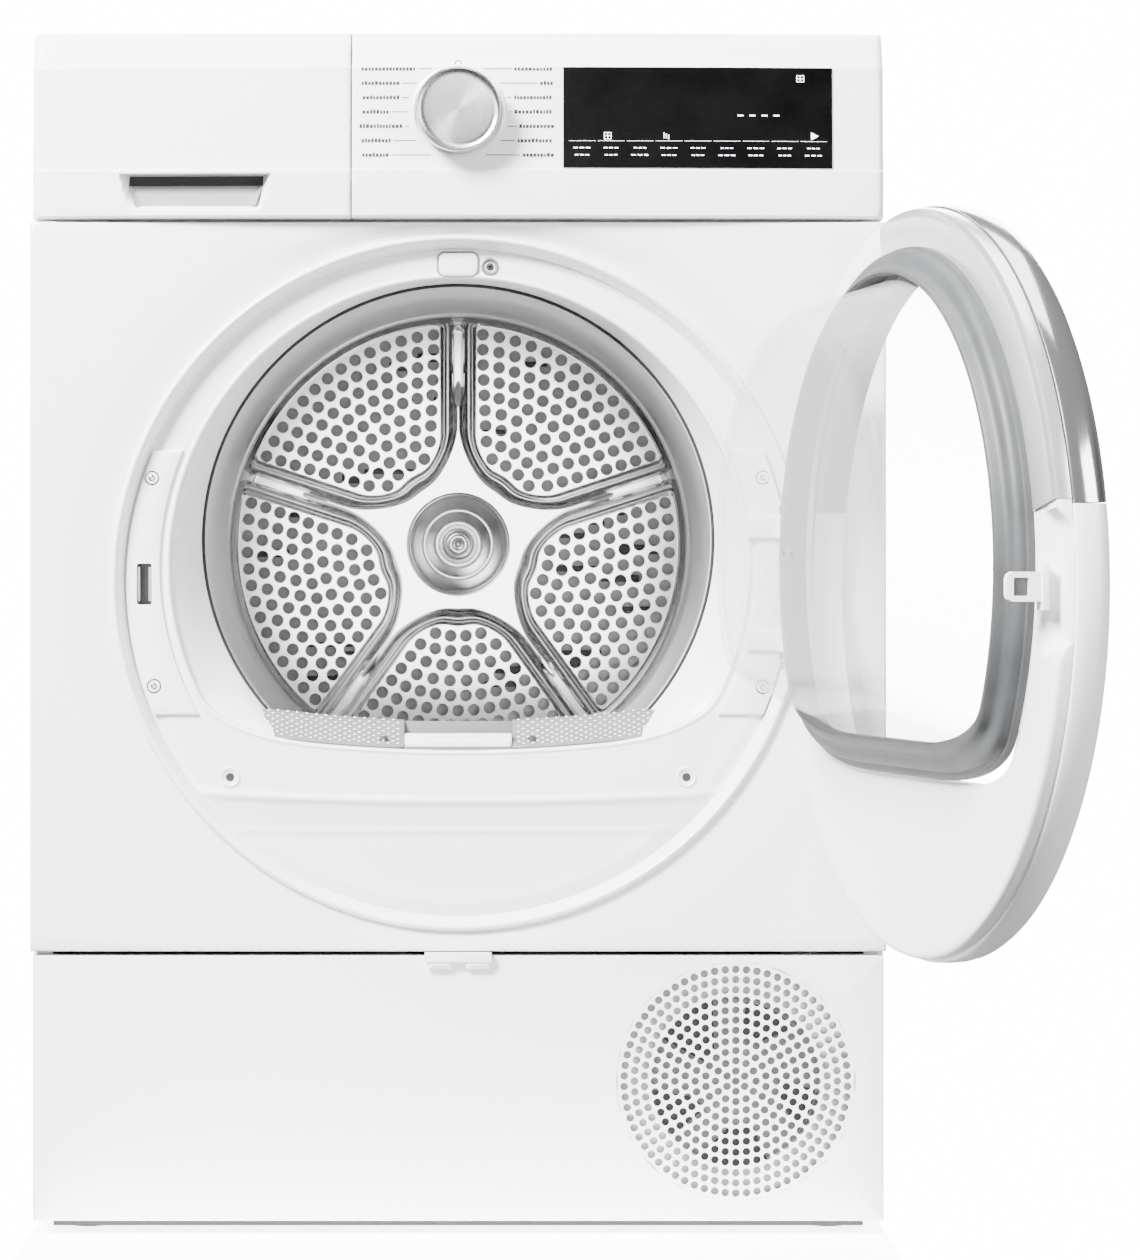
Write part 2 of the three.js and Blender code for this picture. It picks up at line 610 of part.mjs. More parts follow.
function hingePlate() {
  const { x, y } = HINGE;
  let plate = wingPlate(1);
  for (const [low, top] of lugSpans) {
    const arm = slab(x - 4.6, x + 4.4, y, WING.front + 0.5, low, top);
    plate = join(plate, post(x, y, 4.6, low, top), arm);
  }
  return cut(plate, post(x, y, HINGE.pin + GAP, 380, 530));
}

const hingePin = () => post(HINGE.x, HINGE.y, HINGE.pin, HINGE.low, HINGE.top);

const drumSeal = () => ringY(0, DRUM.z, DRUM.lip + 0.6, DRUM.lip + 12, THROAT.end + 0.4, DRUM.front - 0.4);

function lampLens() {
  const lens = slab(-13.6, 13.6, SURROUND.front - 1.6, SURROUND.front - GAP, 671.5, 687);
  return lens;
}

// ---- lint filter ----
function filterFrame() {
  const { half, front, back, low, sill, crest, wall } = FILTER;
  const section = [[front, low], [back, low], [back, crest], [back - 3, crest], [front, sill + 2]];
  const body = solid(prismX(section, -half, half));
  const inside = [
    [front + wall, low - 1], [back - wall, low - 1], [back - wall, crest - 8], [front + wall, sill - 5],
  ];
  const hollow = solid(prismX(inside, -half + 4, half - 4));
  const windows = [slab(-half + 10, -6, front - 1, back - 3, low + 12, sill - 16), slab(6, half - 10, front - 1, back - 3, low + 12, sill - 16)];
  const fingerWell = slab(-38, 38, front + 6, back - 2.2, sill - 12, crest + 4);
  return cut(body, hollow, ...windows, fingerWell);
}

function filterScreen() {
  const { half, front, back, low, sill } = FILTER;
  return slab(-half + 5, half - 5, front + FILTER.wall + GAP, front + 4, low + 6, sill - 10)
    .intersect(slab(-half, half, front, back, low, sill));
}

const filterGrip = () => slab(-37.7, 37.7, FILTER.front + 6.3, FILTER.front + 9.3, FILTER.sill - 11.7, FILTER.sill + 6);

function filterChute() {
  const { half, front, back, low, top, wall } = CHUTE;
  const tube = slab(-half, half, front, back, low, top);
  return cut(tube, slab(-half + wall, half - wall, front + wall, back - wall, low - 1, top + 1));
}

// ---- door, modelled closed and then swung open about its hinge ----
const hingeCut = () => {
  const lean = (y) => DOOR.hingeCut + 0.268 * (y - DOOR.inner);
  const section = [[lean(-60), -60], [400, -60], [400, 20], [lean(20), 20]];
  return prismZ(section, 100, 800);
};

// The D-shaped outline of the opening: a circle with its lower part cut off at a sill.
function dShape(radius, sill, y0, y1) {
  const round = disc(0, MOUTH.z, radius, y0, y1, FINE);
  return round.intersect(slab(-300, 300, y0, y1, sill, 800));
}

function doorFrame() {
  const plate = disc(0, PORTHOLE.z, DOOR.radius, DOOR.split, DOOR.inner, FINE);
  const mouth = dShape(BOWL.mouthRadius + GAP, BOWL.sillMouth - GAP, DOOR.split - 1, DOOR.inner + 1);
  const scoop = slab(-250, -222, DOOR.split - 1, -3.5, 418, 500);
  return cut(plate, mouth, scoop, hingeCut());
}

function doorRing(y0, y1) {
  const slope = 5;
  const profile = [
    [RIM.inner, y0], [RIM.radius - slope, y0], [RIM.radius, y0 + slope], [RIM.radius - 1, y1],
    [RIM.inner, y1], [RIM.inner, y0],
  ];
  return cut(turned(profile, 0, PORTHOLE.z), hingeCut());
}

// Everything above the two split lines that run inwards from the rim at the trim's low angle.
function trimSector(overlap) {
  const level = PORTHOLE.z + RIM.radius * Math.sin(THREE.MathUtils.degToRad(TRIM.lowAngle));
  return slab(-300, 300, -60, 20, level + overlap, 800);
}

const doorTrim = () => doorRing(DOOR.outer, DOOR.split - GAP).intersect(trimSector(GAP));

function doorCover() {
  const scoop = slab(-250, -226, -30, DOOR.split + 1, 420, 498);
  return cut(doorRing(DOOR.outer, DOOR.split - GAP), trimSector(0), scoop);
}

function doorWindow() {
  return ringlessDisc(RIM.inner - GAP, DOOR.outer + 3, DOOR.outer + 7);
}

function ringlessDisc(radius, y0, y1) {
  return cut(disc(0, PORTHOLE.z, radius, y0, y1, FINE), hingeCut());
}

function bowlSolid(inset, y0, y1) {
  const front = { y: y0, z: MOUTH.z, radius: BOWL.mouthRadius - inset };
  const back = { y: y1, z: MOUTH.z + 12, radius: BOWL.endRadius - inset };
  const cone = leaningCone(front, back);
  const floor = [[y0 - 5, BOWL.sillMouth + inset], [y1 + 5, BOWL.sillEnd + inset], [y1 + 5, 800], [y0 - 5, 800]];
  return cone.intersect(solid(prismX(floor, -300, 300)));
}

function doorBowl() {
  const start = DOOR.split + 1;
  const end = DOOR.inner + BOWL.depth;
  return cut(bowlSolid(0, start, end), bowlSolid(BOWL.wall, start - 1, end - BOWL.wall));
}

function doorGasket() {
  const y0 = DOOR.inner + GAP;
  const outer = dShape(GASKET.outer, GASKET.sill, y0, GASKET.reach);
  return cut(outer, dShape(GASKET.inner, BOWL.sillMouth - 3, y0 - 1, GASKET.reach + 1), wingRelief());
}

// Room for the raised wing plates and the hinge leaf beside the gasket.
function wingRelief() {
  const side = disc(0, MOUTH.z, 300, WING.front - 0.6, 30, FINE);
  return cut(side, disc(0, MOUTH.z, WING.inner + 2.5, 0, 40, FINE));
}

function doorHinge() {
  const { x, y } = HINGE;
  let leaf = slab(x - 19.5, x - 7.5, DOOR.inner + GAP, y - 1, 401.5, 509.8);
  for (const [low, top] of knuckleSpans) {
    leaf = join(leaf, slab(x - 8, x - 2, DOOR.inner + GAP, y - 1, low, top), post(x, y, 4.1, low, top));
  }
  return cut(leaf, post(x, y, HINGE.pin + GAP, 380, 530));
}

function doorHook() {
  const { reach, halfHeight, halfWidth } = HOOK;
  const base = DOOR.inner + GAP;
  const arm = slab(LOCK.x - halfWidth, LOCK.x + halfWidth, base, reach, LOCK.z - halfHeight, LOCK.z + halfHeight);
  return cut(arm, slab(LOCK.x - 10, LOCK.x + 10, reach - 14, reach - 4, LOCK.z - 5.5, LOCK.z + 5.5));
}

// ---- assembly ----
const machine = new THREE.Group();
machine.position.set(FOOT.x, -FOOT.front, 0);

const swing = new THREE.Group();
swing.position.set(HINGE.x, HINGE.y, 0);
swing.rotation.z = THREE.MathUtils.degToRad(HINGE.openAngle);
const closedDoor = new THREE.Group();
closedDoor.position.set(-HINGE.x, -HINGE.y, 0);
swing.add(closedDoor);
machine.add(swing);

function place(name, body, material, parent = machine) {
  const mesh = new THREE.Mesh(geometryOf(body), material);
  mesh.name = name;
  parent.add(mesh);
}

const m = MATERIALS;
for (const [name, [x, y]] of Object.entries(footPlaces())) place(name, foot(x, y), m.darkPlastic);
place('base_tray', baseTray(), m.greyPlastic);
place('side_panel_left', sidePanel(-1), m.enamel);
place('side_panel_right', sidePanel(1), m.enamel);
place('worktop', worktop(), m.enamel);
place('front_panel', frontPanel(), m.enamel);
place('kick_panel', kickPanel(), m.enamel);
place('kick_panel_clip', kickClip(), m.plastic);
place('rear_panel', rearPanel(), m.galvanised);
place('rear_duct_cover', rearDuctCover(), m.galvanised);
place('front_bulkhead', frontBulkhead(), m.galvanised);

place('drum_shell', drumShell(), m.steel);
place('drum_front', drumFront(), m.steel);
place('drum_back', drumBack(), m.steel);
place('drum_hub', drumHub(), m.polished);
for (let i = 0; i < LIFTER.count; i += 1) place(`drum_lifter_${i + 1}`, lifter(i), m.greyPlastic);
place('drum_bearing', ringY(0, DRUM.z, BEARING.inner, BEARING.outer, BEARING.front + 2, BEARING.back, ROUND), m.polished);
place('drum_seal', drumSeal(), m.felt);
rollerPlaces().forEach((spot, i) => place(`support_roller_${['left', 'right'][i]}`, supportRoller(spot), m.blackRubber));

place('drive_motor', driveMotor(), m.galvanised);
place('motor_shaft', motorShaft(), m.polished);
place('process_fan', processFan(), m.darkPlastic);
place('drive_belt', driveBelt(), m.blackRubber);
place('compressor', compressor(), m.darkPlastic);
place('evaporator', coil(EVAPORATOR), m.aluminium);
place('condenser', coil(CONDENSER), m.aluminium);
place('refrigerant_pipes', refrigerantPipes(), m.copper);
place('cooling_fan_frame', coolingFanFrame(), m.darkPlastic);
place('cooling_fan_rotor', coolingFanRotor(), m.darkPlastic);

place('control_panel', controlPanel(), m.fasciaWhite);
place('display_window', displayWindow(), m.darkGlass);
place('program_knob', programKnob(), m.silver);
place('control_module', controlModule(), m.darkPlastic);
place('drawer_front', drawerFront(), m.fasciaWhite);
place('tank_body', tankBody(), m.tankPlastic);
place('tank_lid', tankLid(), m.tankPlastic);

place('door_surround', doorSurround(), m.plastic);
place('lock_plate', lockPlate(), m.plastic);
place('hinge_plate', hingePlate(), m.plastic);
place('hinge_pin', hingePin(), m.polished);
place('door_lock', doorLock(), m.greyPlastic);
place('lamp_lens', lampLens(), m.glass);
place('filter_chute', filterChute(), m.greyPlastic);
place('filter_frame', filterFrame(), m.greyPlastic);
place('filter_screen', filterScreen(), m.rubber);
place('filter_grip', filterGrip(), m.plastic);

place('door_frame', doorFrame(), m.plastic, closedDoor);
place('door_cover', doorCover(), m.plastic, closedDoor);
place('door_trim', doorTrim(), m.silver, closedDoor);
place('door_window', doorWindow(), m.glass, closedDoor);
place('door_bowl', doorBowl(), m.glass, closedDoor);
place('door_gasket', doorGasket(), m.rubber, closedDoor);
place('door_hinge', doorHinge(), m.silver, closedDoor);
place('door_hook', doorHook(), m.plastic, closedDoor);

export default machine;
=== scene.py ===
import json
import math

import bmesh
import bpy
import numpy as np
from mathutils import Matrix, Vector
from mathutils.geometry import delaunay_2d_cdt


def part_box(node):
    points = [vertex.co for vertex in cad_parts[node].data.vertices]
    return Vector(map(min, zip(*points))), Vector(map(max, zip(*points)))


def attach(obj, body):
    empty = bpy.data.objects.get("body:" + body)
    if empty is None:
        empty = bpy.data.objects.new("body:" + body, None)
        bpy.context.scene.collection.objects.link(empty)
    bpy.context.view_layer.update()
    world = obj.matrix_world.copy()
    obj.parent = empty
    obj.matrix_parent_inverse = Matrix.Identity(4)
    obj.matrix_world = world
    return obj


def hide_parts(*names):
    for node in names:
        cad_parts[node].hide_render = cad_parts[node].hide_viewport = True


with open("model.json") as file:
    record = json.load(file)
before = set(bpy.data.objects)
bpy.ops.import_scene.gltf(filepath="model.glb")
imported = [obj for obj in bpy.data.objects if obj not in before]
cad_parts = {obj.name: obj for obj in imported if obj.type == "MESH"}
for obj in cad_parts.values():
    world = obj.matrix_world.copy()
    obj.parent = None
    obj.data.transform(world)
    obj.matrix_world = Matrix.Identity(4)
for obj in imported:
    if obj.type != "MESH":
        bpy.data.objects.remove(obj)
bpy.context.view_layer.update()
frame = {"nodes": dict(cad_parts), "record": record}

MM = 0.001
TAU = 2 * math.pi


def box(node):
    low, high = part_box(node)
    return Vector(low), Vector(high)


PANEL_LOW, PANEL_HIGH = box("front_panel")
CX = (PANEL_LOW.x + PANEL_HIGH.x) / 2      # the cabinet's centre line
CY = PANEL_LOW.y                           # the plane of the front panel


def to_mm(v):
    return ((v[0] - CX) / MM, (v[1] - CY) / MM, v[2] / MM)


def span(node):
    """Both corners of a CAD node's box, in millimetres."""
    low, high = box(node)
    return to_mm(low), to_mm(high)


# The pieces are in millimetres from the cabinet's centre line, front plane and floor.
# The camera, the lights and the floor are placed in metres.
P_LOW, P_TOP = PANEL_LOW.z / MM, PANEL_HIGH.z / MM
HALF = (PANEL_HIGH.x - PANEL_LOW.x) / 2 / MM
JOINTS = {j["name"]: j for j in frame["record"]["behaviour"]["joints"]}
HINGE = to_mm(JOINTS["door_hinge"]["pos_m"])
OPEN_ANGLE = math.radians(-JOINTS["door_hinge"]["range_deg"][0])
DRUM = to_mm(JOINTS["drum_spin"]["pos_m"])
KNOB = to_mm(JOINTS["program_knob_turn"]["pos_m"])
FAN = to_mm(JOINTS["cooling_fan_spin"]["pos_m"])
HOLE_Z, HOLE_R = 456.0, 238.4              # porthole in the front panel
MOUTH_Z, MOUTH_R, SILL = 467.2, 201.2, 338.3    # the D-shaped mouth and its flat bottom
THROAT_R, THROAT_Y = 180.5, 46.0


# ---------------------------------------------------------------- materials
class Graph:
    """A node tree where a node gets its inputs in one call: a socket is linked, a value is set."""

    def __init__(self, tree):
        self.tree = tree

    def fill(self, node, inputs):
        for key, value in inputs.items():
            if isinstance(value, bpy.types.NodeSocket):
                self.tree.links.new(value, node.inputs[key])
            else:
                node.inputs[key].default_value = value
        return node

    def add(self, kind, inputs, output=0, **settings):
        node = self.tree.nodes.new("ShaderNode" + kind)
        for key, value in settings.items():
            setattr(node, key, value)
        return self.fill(node, inputs).outputs[output]

    def noise(self, coords, scale, detail=3.0, stretch=(1, 1, 1)):
        vector = self.add("Mapping", {"Scale": stretch, "Vector": coords})
        return self.add("TexNoise", {"Scale": scale, "Detail": detail, "Vector": vector}, "Fac")

    def ramp(self, source, low, high, start=0.3, end=0.7, **settings):
        limits = {"From Min": start, "From Max": end, "To Min": low, "To Max": high, "Value": source}
        return self.add("MapRange", limits, "Result", **settings)

    def drift(self, factor, first, second):
        colors = {"A": (*first, 1), "B": (*second, 1), "Factor": factor}
        return self.add("Mix", colors, "Result", data_type="RGBA")


def new_material(name):
    material = bpy.data.materials.new(name)
    material.use_nodes = True
    graph = Graph(material.node_tree)
    return material, graph, graph.add("TexCoord", {}, "Object"), graph.tree.nodes["Principled BSDF"]


def surface(name, color, rough, metal=0.0, vary=0.015, rough_vary=0.05, scale=35.0, grain=900.0,
            bump=0.03, stretch=(1, 1, 1), coat=0.0, aniso=0.0, centre=None, spec=0.5):
    """A procedural finish: slow colour drift, uneven gloss and a fine grain in the bump."""
    material, graph, coords, shader = new_material(name)
    slow = graph.noise(coords, scale)
    fine = graph.noise(coords, grain, 2.0, stretch)
    darker = [max(0.0, c - vary) for c in color]
    lighter = [min(1.0, c + vary) for c in color]
    height = fine
    if centre:                                # circular brushing about an axis along Y
        shift = graph.add("VectorMath", {0: coords, 1: centre}, operation="SUBTRACT")
        flat = graph.add("VectorMath", {0: shift, 1: (1, 0, 1)}, operation="MULTIPLY")
        length = graph.add("VectorMath", {0: flat}, "Value", operation="LENGTH")
        rings = {"Scale": grain * 2, "Detail": 2.0, "W": length}
        height = graph.add("TexNoise", rings, "Fac", noise_dimensions="1D")
    graph.fill(shader, {
        "Base Color": graph.drift(slow, darker, lighter),
        "Roughness": graph.ramp(fine, max(0.02, rough - rough_vary), rough + rough_vary),
        "Normal": graph.add("Bump", {"Strength": bump, "Distance": 0.0006, "Height": height}),
        "Metallic": metal, "Specular IOR Level": spec, "Coat Weight": coat, "Coat Roughness": 0.1})
    if aniso:
        tangent = graph.add("Tangent", {}, direction_type="RADIAL", axis="Y")
        graph.fill(shader, {"Anisotropic": aniso, "Tangent": tangent})
    return material


def clear(name, tint, alpha_face, alpha_edge):
    """A pane, nearly unseen face on and denser at a glancing angle."""
    material, graph, coords, shader = new_material(name)
    slow = graph.noise(coords, 30.0)
    facing = graph.add("LayerWeight", {"Blend": 0.25}, "Facing")
    graph.fill(shader, {
        "Base Color": graph.drift(slow, [c * 0.96 for c in tint], tint),
        "Roughness": graph.ramp(slow, 0.03, 0.06),
        "Alpha": graph.ramp(facing, alpha_face, alpha_edge, 0.0, 1.0)})
    return material


def glowing(name, color, strength):
    material, graph, coords, shader = new_material(name)
    graph.fill(shader, {
        "Roughness": graph.ramp(graph.noise(coords, 200.0), 0.3, 0.4),
        "Base Color": (*color, 1), "Emission Color": (*color, 1), "Emission Strength": strength})
    return material


DRUM_CENTRE = (CX, 0.0, DRUM[2] * MM)
KNOB_CENTRE = (CX + KNOB[0] * MM, 0.0, KNOB[2] * MM)
M = {
    "enamel": surface("white_enamel", (.83, .83, .835), .28, bump=.012, grain=500, rough_vary=.04, coat=.35,
    vary=.006),
    "laminate": surface("white_laminate", (.82, .82, .825), .34, bump=.03, grain=1100, vary=.008),
    "plastic": surface("white_plastic", (.83, .83, .835), .36, bump=.04, grain=1500, vary=.006),
    "fascia": surface("fascia_plastic", (.83, .83, .84), .3, bump=.03, grain=1500, coat=.2, vary=.005),
    "bezel": surface("surround_plastic", (.84, .84, .845), .33, bump=.03, grain=1500, vary=.005),
    "silver": surface("silver_trim", (.5, .505, .51), .14, .95, bump=.006, grain=700, vary=.01,
    rough_vary=.02),
    "satin": surface("satin_silver", (.6, .61, .62), .24, .7, bump=.01, grain=1300, vary=.01, rough_vary=.02),
    "steel": surface("drum_steel", (.8, .803, .806), .34, .6, bump=.006, grain=260, stretch=(1, .05, 1),
    vary=.01, rough_vary=.02),
    "disc": surface("back_wall_steel", (.86, .865, .87), .17, 1.0, bump=.004, grain=420, vary=.006,
    rough_vary=.01),
    # Painted shade: a darker copy of the back wall's steel, for the sloping beads of the star.
    "bead": surface("bead_painted_shade_steel", (.42, .422, .425), .2, 1.0, bump=.004, grain=420, vary=.01,
    rough_vary=.01),
    "hub": surface("turned_steel", (.72, .725, .73), .24, 1.0, bump=.06, grain=1500, vary=.02,
    rough_vary=.02, aniso=.85, centre=DRUM_CENTRE),
    "knob": surface("turned_aluminium", (.42, .423, .427), .26, 1.0, bump=.08, grain=1800, vary=.02,
    rough_vary=.03, aniso=.85, centre=KNOB_CENTRE),
    "chrome": surface("polished_steel", (.78, .79, .8), .12, 1.0, bump=.02, grain=900, vary=.02),
    "galv": surface("galvanised_sheet", (.55, .57, .58), .45, .85, vary=.07, scale=60, bump=.06, grain=300),
    "alu": surface("fin_aluminium", (.62, .64, .65), .4, .9, vary=.04, bump=.1, grain=1500,
    stretch=(1, .05, .05)),
    "copper": surface("copper_tube", (.68, .36, .2), .28, 1.0, vary=.06, bump=.04, grain=400),
    "display": surface("display_glass", (.002, .002, .0022), .12, bump=.0, grain=300, vary=.002,
    rough_vary=.02, spec=.3),
    "rubber": surface("grey_gasket", (.05, .052, .054), .55, vary=.02, bump=.08, grain=1200),
    "black_rubber": surface("black_rubber", (.014, .014, .015), .7, vary=.004, bump=.12, grain=900),
    "felt": surface("dark_felt", (.02, .021, .022), .95, vary=.008, bump=.5, grain=2600, stretch=(1, .4, 1)),
    "grey": surface("grey_plastic", (.15, .152, .155), .42, vary=.015, bump=.05, grain=1400),
    "dark": surface("dark_plastic", (.012, .0122, .013), .5, vary=.004, bump=.07, grain=1300),
    # Painted shade: near-black plastic set where shade falls in the scoop, the seam, the lock slot and the screw
    # holes; the filter's small domes and the lamp's sensor use it too.
    "shadow": surface("painted_shade_dark", (.02, .0205, .021), .6, vary=.004, bump=.05, grain=1300),
    "tank": surface("tank_plastic", (.74, .79, .81), .35, vary=.02, bump=.05, grain=800),
    "paint": surface("black_paint", (.006, .006, .0065), .45, vary=.002, bump=.06, grain=600),
    "duct": surface("duct_inside", (.36, .363, .366), .6, vary=.05, bump=.03, grain=400),
    # Painted shade: a grey copy of the white plastic, for the scoop's floor and the guides inside the lock slot.
    "tint": surface("shaded_white", (.24, .242, .244), .4, bump=.03, grain=1500, vary=.01),
    "liner": surface("fan_housing", (.15, .151, .153), .6, vary=.05, bump=.03, grain=400),
    "ink": surface("grey_print", (.014, .014, .015), .5, vary=.01, bump=.01, grain=900),
    "glass": clear("clear_glass", (.72, .725, .73), .03, .42),
    "pane": clear("outer_pane", (.96, .97, .975), .03, .22),
    "lit": glowing("lit_marks", (.85, .9, .95), 1.9),
}


# ---------------------------------------------------------------- mesh tools
hinge_point = Vector((CX + HINGE[0] * MM, CY + HINGE[1] * MM, 0))
DOOR_SWING = Matrix.Translation(hinge_point) @ Matrix.Rotation(OPEN_ANGLE, 4,
        "Z") @ Matrix.Translation(-hinge_point)


class Shape:
    """Points in millimetres and faces, gathered into one mesh."""

    def __init__(self):
        self.verts, self.faces = [], []

    def add(self, verts, faces):
        base = len(self.verts)
        self.verts += [tuple(v) for v in verts]
        self.faces += [tuple(base + i for i in f) for f in faces]
        return self

    def loft(self, rings, wrap=True, close=False, caps=False):
        n = len(rings[0])
        verts = [p for ring in rings for p in ring]
        faces = []
        rows = len(rings)
        for r in range(rows if close else rows - 1):
            a, b = r * n, ((r + 1) % rows) * n
            for i in range(n if wrap else n - 1):
                j = (i + 1) % n
                faces.append((a + i, a + j, b + j, b + i))
        if caps:
            faces.append(tuple(range(n)))
            faces.append(tuple(range((rows - 1) * n, rows * n)))
        return self.add(verts, faces)

    def cap(self, ring):
        return self.add(ring, [range(len(ring))])

    def lathe(self, profile, cx, cz, n=96, close=False, y0=0):
        """A turned form about an axis along Y, from pairs of radius and distance behind y0."""
        return self.loft([[(x, y0 + y, z) for x, z in circle(cx, cz, r, n)] for r, y in profile], close=close)

    def prism(self, outline, y0, y1, bevel=0.0):
        """An outline in X and Z made thick along Y, with its front edge (y0) eased by bevel."""
        points = np.array(outline, float)
        rings = []
        steps = [(0, y1)]
        if bevel:
            steps += [(0, y0 + bevel), (bevel * .3, y0 + bevel * .3), (bevel, y0)]
        else:
            steps += [(0, y0)]
        for inset, y in steps:
            rings.append([(x, y, z) for x, z in inset_outline(points, inset)])
        return self.loft(rings, caps=True)

    def block(self, x0, x1, y0, y1, z0, z1, bevel=0.8):
        """A box with eased edges."""
        work = bmesh.new()
        bmesh.ops.create_cube(work, size=1.0)
        for v in work.verts:
            v.co = Vector(((x0 + x1) / 2 + v.co.x * (x1 - x0), (y0 + y1) / 2 + v.co.y * (y1 - y0),
                           (z0 + z1) / 2 + v.co.z * (z1 - z0)))
        bmesh.ops.bevel(work, geom=work.edges[:], offset=bevel, segments=2, profile=.6, affect="EDGES")
        work.verts.index_update()
        verts = [v.co.copy() for v in work.verts]
        faces = [[v.index for v in f.verts] for f in work.faces]
        work.free()
        return self.add(verts, faces)

    def build(self, name, look, body, slot, replaces=(), smooth=35, recalc=True):
        """One piece of the object. The door's pieces are drawn closed and swung open here."""
        mesh = bpy.data.meshes.new(name)
        mesh.from_pydata([(CX + x * MM, CY + y * MM, z * MM) for x, y, z in self.verts], [], self.faces)
        work = bmesh.new()
        work.from_mesh(mesh)
        bmesh.ops.remove_doubles(work, verts=work.verts, dist=2e-6)
        bmesh.ops.dissolve_degenerate(work, edges=work.edges, dist=1e-6)
        if recalc:
            bmesh.ops.recalc_face_normals(work, faces=work.faces)
        work.to_mesh(mesh)
        work.free()
        if body == "door":
            mesh.transform(DOOR_SWING)
        mesh.validate()
        for polygon in mesh.polygons:
            polygon.use_smooth = True
        mesh.set_sharp_from_angle(angle=math.radians(smooth))
        mesh.materials.append(M[look])
        obj = bpy.data.objects.new(name, mesh)
        bpy.context.collection.objects.link(obj)
        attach(obj, body)
        if replaces:
            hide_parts(*replaces)


def inset_outline(points, inset):
    if not inset:
        return [tuple(p) for p in points]
    before, after = np.roll(points, 1, 0), np.roll(points, -1, 0)
    e1, e2 = points - before, after - points
    e1 /= np.linalg.norm(e1, axis=1)[:, None]
    e2 /= np.linalg.norm(e2, axis=1)[:, None]
    n1, n2 = np.stack([-e1[:, 1], e1[:, 0]], 1), np.stack([-e2[:, 1], e2[:, 0]], 1)
    area = np.sum(points[:, 0] * after[:, 1] - after[:, 0] * points[:, 1])
    sign = 1 if area > 0 else -1
    normal = n1 + n2
    normal /= np.maximum(np.sum(normal * n1, axis=1), .3)[:, None]
    return [tuple(p) for p in points + sign * inset * normal]


def circle(cx, cz, r, n=24, start=0.0):
    return [(cx + r * math.cos(start + TAU * i / n), cz + r * math.sin(start + TAU * i / n))
            for i in range(n)]


def rounded(x0, x1, z0, z1, r, n=5):
    points = []
    for cx, cz, a in ((x1 - r, z1 - r, 0), (x0 + r, z1 - r, 90), (x0 + r, z0 + r, 180),
                      (x1 - r, z0 + r, 270)):
        for i in range(n + 1):
            t = math.radians(a + 90 * i / n)
            points.append((cx + r * math.cos(t), cz + r * math.sin(t)))
    return points


def inside(poly, x, z):
    x1, z1 = poly[:, 0], poly[:, 1]
    x2, z2 = np.roll(x1, -1), np.roll(z1, -1)
    cross = (z1 > z) != (z2 > z)
    with np.errstate(divide="ignore", invalid="ignore"):
        at = (x2 - x1) * (z - z1) / (z2 - z1) + x1
    return bool(np.sum(cross & (x < at)) % 2)


def sheet(loops, keep):
    """Points and triangles of a flat region, from its outline and the outlines of its holes."""
    points, edges = [], []
    for loop in loops:
        base = len(points)
        points += [Vector(p) for p in loop]
        edges += [(base + i, base + (i + 1) % len(loop)) for i in range(len(loop))]
    out, _, tris, *_ = delaunay_2d_cdt(points, edges, [], 0, 1e-4)
    outer = np.array(loops[0])
    kept = []
    for tri in tris:
        c = sum((out[i] for i in tri), Vector((0, 0))) / len(tri)
        if keep(c.x, c.y) and inside(outer, c.x, c.y):
            kept.append(tri)
    return out, kept


def perforated(shape, outer, holes, front, back, rim, sides):
    """A flat sheet with round holes through it; each hole's front edge is drawn in by rim."""
    centres = np.array([(x, z) for x, z, _ in holes])
    radii = np.array([r for *_, r in holes])

    def solid(x, z):
        return not (np.hypot(centres[:, 0] - x, centres[:, 1] - z) < radii * .97).any()

    points, kept = sheet([outer] + [circle(x, z, r, sides, .26) for x, z, r in holes], solid)
    shape.add([(p.x, front, p.y) for p in points], kept)
    for x, z, r in holes:
        profile = [(r, front), (r - rim * .6, front + rim * .5), (r - rim, front + rim + .2), (r - rim, back)]
        shape.loft([[(px, y, pz) for px, pz in circle(x, z, q, sides, .26)] for q, y in profile])


def post(x, y, profile, n=24):
    """Rings of a round upright about (x, y), from pairs of radius and height."""
    return [[(x + r * math.cos(TAU * i / n), y + r * math.sin(TAU * i / n), z) for i in range(n)]
            for r, z in profile]


def arc(r, y, a0, a1, n):
    """Points round the porthole's centre, from one angle to the other."""
    angles = [a0 + (a1 - a0) * i / n for i in range(n + 1)]
    return [(r * math.cos(a), y, HOLE_Z + r * math.sin(a)) for a in angles]


def smooth(t):
    t = np.clip(t, 0, 1)
    return t * t * (3 - 2 * t)


def screw(shape, x, z, y, r, recess):
    """A sunk screw: a shallow cup, a domed head and a six-sided socket."""
    shape.lathe([(recess, -.1), (recess - .8, -.35), (r + 1.4, .1), (r + 1.0, .25)], x, z, 24, y0=y)
    shape.lathe([(r, .2), (r - .5, -.6), (r * .5, -.9)], x, z, 24, y0=y)
    shape.lathe([(r * .5, -.9), (r * .48, .2), (0.01, .2)], x, z, 6, y0=y)


# ---------------------------------------------------------------- camera, lights and floor
CAMERA_Y, CAMERA_Z = -2750.0, 464.8
camera_data = bpy.data.cameras.new("camera")
camera_data.sensor_fit = "VERTICAL"
camera_data.sensor_height = 36
camera_data.lens = 112.55
camera_data.shift_x = 0.0887
camera_data.shift_y = -0.0476
camera_data.clip_end = 60
camera = bpy.data.objects.new("camera", camera_data)
camera.location = (CX, CY + CAMERA_Y * MM, CAMERA_Z * MM)
camera.rotation_euler = (math.radians(90), 0, 0)
bpy.context.collection.objects.link(camera)
bpy.context.scene.camera = camera


def area_light(name, where, target, size, power):
    data = bpy.data.lights.new(name, "AREA")
    data.shape = "RECTANGLE"
    data.size, data.size_y = size
    data.energy = power
    obj = bpy.data.objects.new(name, data)
    obj.location = where
    direction = Vector(target) - Vector(where)
    obj.rotation_euler = direction.to_track_quat("-Z", "Y").to_euler()
    bpy.context.collection.objects.link(obj)


